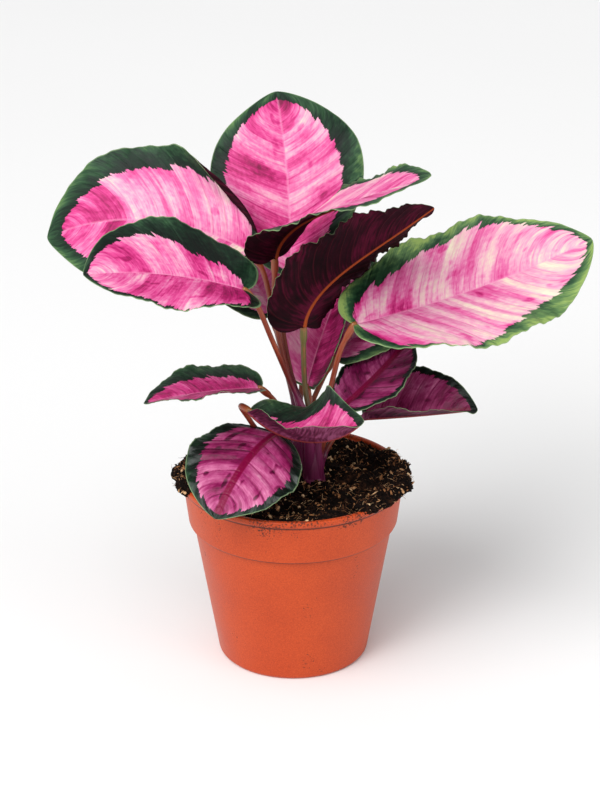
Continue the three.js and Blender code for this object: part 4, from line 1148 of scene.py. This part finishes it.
# %% [markdown]
# A fibre is a bent hair of three sides. Its spine is an arc with a slight wave, its thickness
# fades to both ends, and it is turned about the upright and leaned a little.

# %% Fibres and tones
FIBRE_RINGS, FIBRE_SIDES = 6, 3


def fibres(centres, length, thick, tone):
    """Copies of a bent, three-sided hair: a ring of three corners at each of six points of an arc."""
    count, each = len(centres), FIBRE_RINGS * FIBRE_SIDES
    x = np.linspace(-1, 1, FIBRE_RINGS)
    run = length * (0.4 + rng.random((count, 1)))
    bend = rng.uniform(-0.5, 0.5, (count, 1))
    spine = np.stack([x * run, bend * run * (1 - x**2), 0.15 * run * np.sin(3 * x + 6 * bend)], -1)
    ring = np.stack([[0, np.cos(q), np.sin(q)] for q in (0.5, 2.6, 4.7)])
    fade = (1 - 0.7 * np.abs(x))[None, :, None, None]
    shape = spine[:, :, None] + thick * fade * ring[None, None]
    turn, lean = 2 * np.pi * rng.random(count), rng.normal(0, 0.35, count)
    c, s, cl, sl, zero = np.cos(turn), np.sin(turn), np.cos(lean), np.sin(lean), np.zeros(count)
    turns = np.stack([c * cl, -s, c * sl, s * cl, c, s * sl, -sl, zero, cl], -1).reshape(-1, 3, 3)
    points = np.einsum("nij,nakj->naki", turns, shape) + centres[:, None, None]
    first = each * np.arange(count)[:, None, None]
    faces = grid_quads(FIBRE_RINGS, FIBRE_SIDES, ring=True)[None, :, ::-1] + first
    caps = np.array([[0, 1, 2], [each - 1, each - 2, each - 3]])[None] + first
    return points.reshape(-1, 3), faces.reshape(-1, 4), caps.reshape(-1, 3), np.repeat(tone, each)


def chance_tones(count, dark, pale, pale_share):
    """Mostly dark tones with a share of pale ones."""
    return np.where(rng.random(count) < pale_share, pale, dark) + rng.uniform(-0.08, 0.08, count)


print("places to scatter on the heaps", sum(map(len, heap_points)))

# %% [markdown]
# Damp peat is mostly dark crumbs. Bark chips are flat and paler, fibres are long and tan,
# and a few white grains keep it airy. Each kind is one piece, with a tone for every copy.

# %% Scattered pieces
CRUMBS, CHIPS, FIBRES, GRAINS = 3600, 520, 1700, 46
centres = places(CRUMBS, 0.3, 0.2)
tone = chance_tones(CRUMBS, 0.3, 0.62, 0.14)
points, faces, tone = crumbs(centres, 0.75, np.array([1, 0.85, 0.7]), tone)
add_piece("peat_crumbs", points, [faces], [peat], (), {"tone": tone})
centres = places(CHIPS, 0.3, 0.5)
tone = chance_tones(CHIPS, 0.5, 0.8, 0.5)
points, faces, tone = crumbs(centres, 1.2, np.array([1.6, 0.6, 0.25]), tone)
add_piece("bark_chips", points, [faces], [peat], (), {"tone": tone})
centres = places(FIBRES, 0.32, 0.6)
tone = chance_tones(FIBRES, 0.52, 0.84, 0.38)
points, quads, tris, tone = fibres(centres, 2.6, 0.16, tone)
add_piece("peat_fibres", points, [quads, tris], [peat], (), {"tone": tone})
centres = places(GRAINS, 0.15, 0.7)
points, faces, tone = crumbs(centres, 0.9, np.array([1, 0.9, 0.8]), np.full(GRAINS, 0.98))
add_piece("white_grains", points, [faces], [peat], (), {"tone": tone})
print("crumbs", CRUMBS, "chips", CHIPS, "fibres", FIBRES, "grains", GRAINS)

# %% [markdown]
# ## Floor, light and camera
# The plant stands on a plain pale floor, which is set out as the stage and so isn't part of
# the plant.

# %% Floor
floor_mesh = bpy.data.meshes.new("floor")
floor_mesh.from_pydata([(-9, -9, 0), (9, -9, 0), (9, 9, 0), (-9, 9, 0)], [], [(0, 1, 2, 3)])
floor = new_object("floor", floor_mesh)
floor_finish, m, sockets = new_material("pale_floor", 0.7, 0.2)
floor_cloud = m.noise(m.node("TexCoord", out=3), 1.5, 2.0)
greys = [(0.0, (0.86, 0.86, 0.86, 1)), (1.0, (0.90, 0.90, 0.90, 1))]
m.put(sockets["Base Color"], m.ramp(m.sum(0.5, (1.0, floor_cloud)), greys))
floor_mesh.materials.append(floor_finish)
print("floor", [round(side, 1) for side in floor.dimensions], "m")

# %% [markdown]
# A soft sun lights plant and floor evenly from the upper left. A large lamp beside the camera
# makes the satin of the blades readable, a weaker one fills from the right, and the sky lifts
# the shadows. Without the lamps the blades would look like matt paper.

# %% Lights
def aim(thing, direction):
    """Turns a lamp or a camera so that it looks along the direction."""
    thing.rotation_euler = Vector(direction).to_track_quat("-Z", "Y").to_euler()


def soft_light(name, place, size, power):
    """A square area light that faces the middle of the plant."""
    light = bpy.data.lights.new(name, "AREA")
    light.size = size
    light.energy = power
    lamp = new_object(name, light)
    lamp.location = place
    aim(lamp, Vector((0, 0, 0.17)) - lamp.location)


soft_light("key_light", (-1.1, -1.5, 1.5), 0.9, 16)
soft_light("fill_light", (1.5, -1.2, 0.9), 1.2, 8)
sun = bpy.data.lights.new("soft_sun", "SUN")
sun.energy = 1.9
sun.angle = 0.9
aim(new_object("soft_sun", sun), (0.45, 0.55, -1.0))
world = bpy.data.worlds.new("studio")
bpy.context.scene.world = world
world.use_nodes = True
sky = world.node_tree.nodes["Background"].inputs
sky["Color"].default_value = (1, 1, 1, 1)
sky["Strength"].default_value = 0.5
bpy.context.scene.view_settings.view_transform = "Standard"
print("lights", [light.name for light in bpy.data.lights])

# %% [markdown]
# The camera stands a little over a metre in front of the pot and looks down at it, as one
# looks at a plant on a low bench. A long lens takes in the plant with little distortion.

# %% Camera
lens = bpy.data.cameras.new("camera")
lens.lens = 108.9
lens.sensor_width = 36
lens.clip_start = 0.01
lens.clip_end = 60
camera = new_object("camera", lens)
camera.location = (0.0035, -1.2636, 0.7147)
aim(camera, Vector((0.004, 0.0, 0.158)) - camera.location)
bpy.context.scene.camera = camera
print("camera looks down at degrees", round(90 - np.degrees(camera.rotation_euler.x), 1))

# %% [markdown]
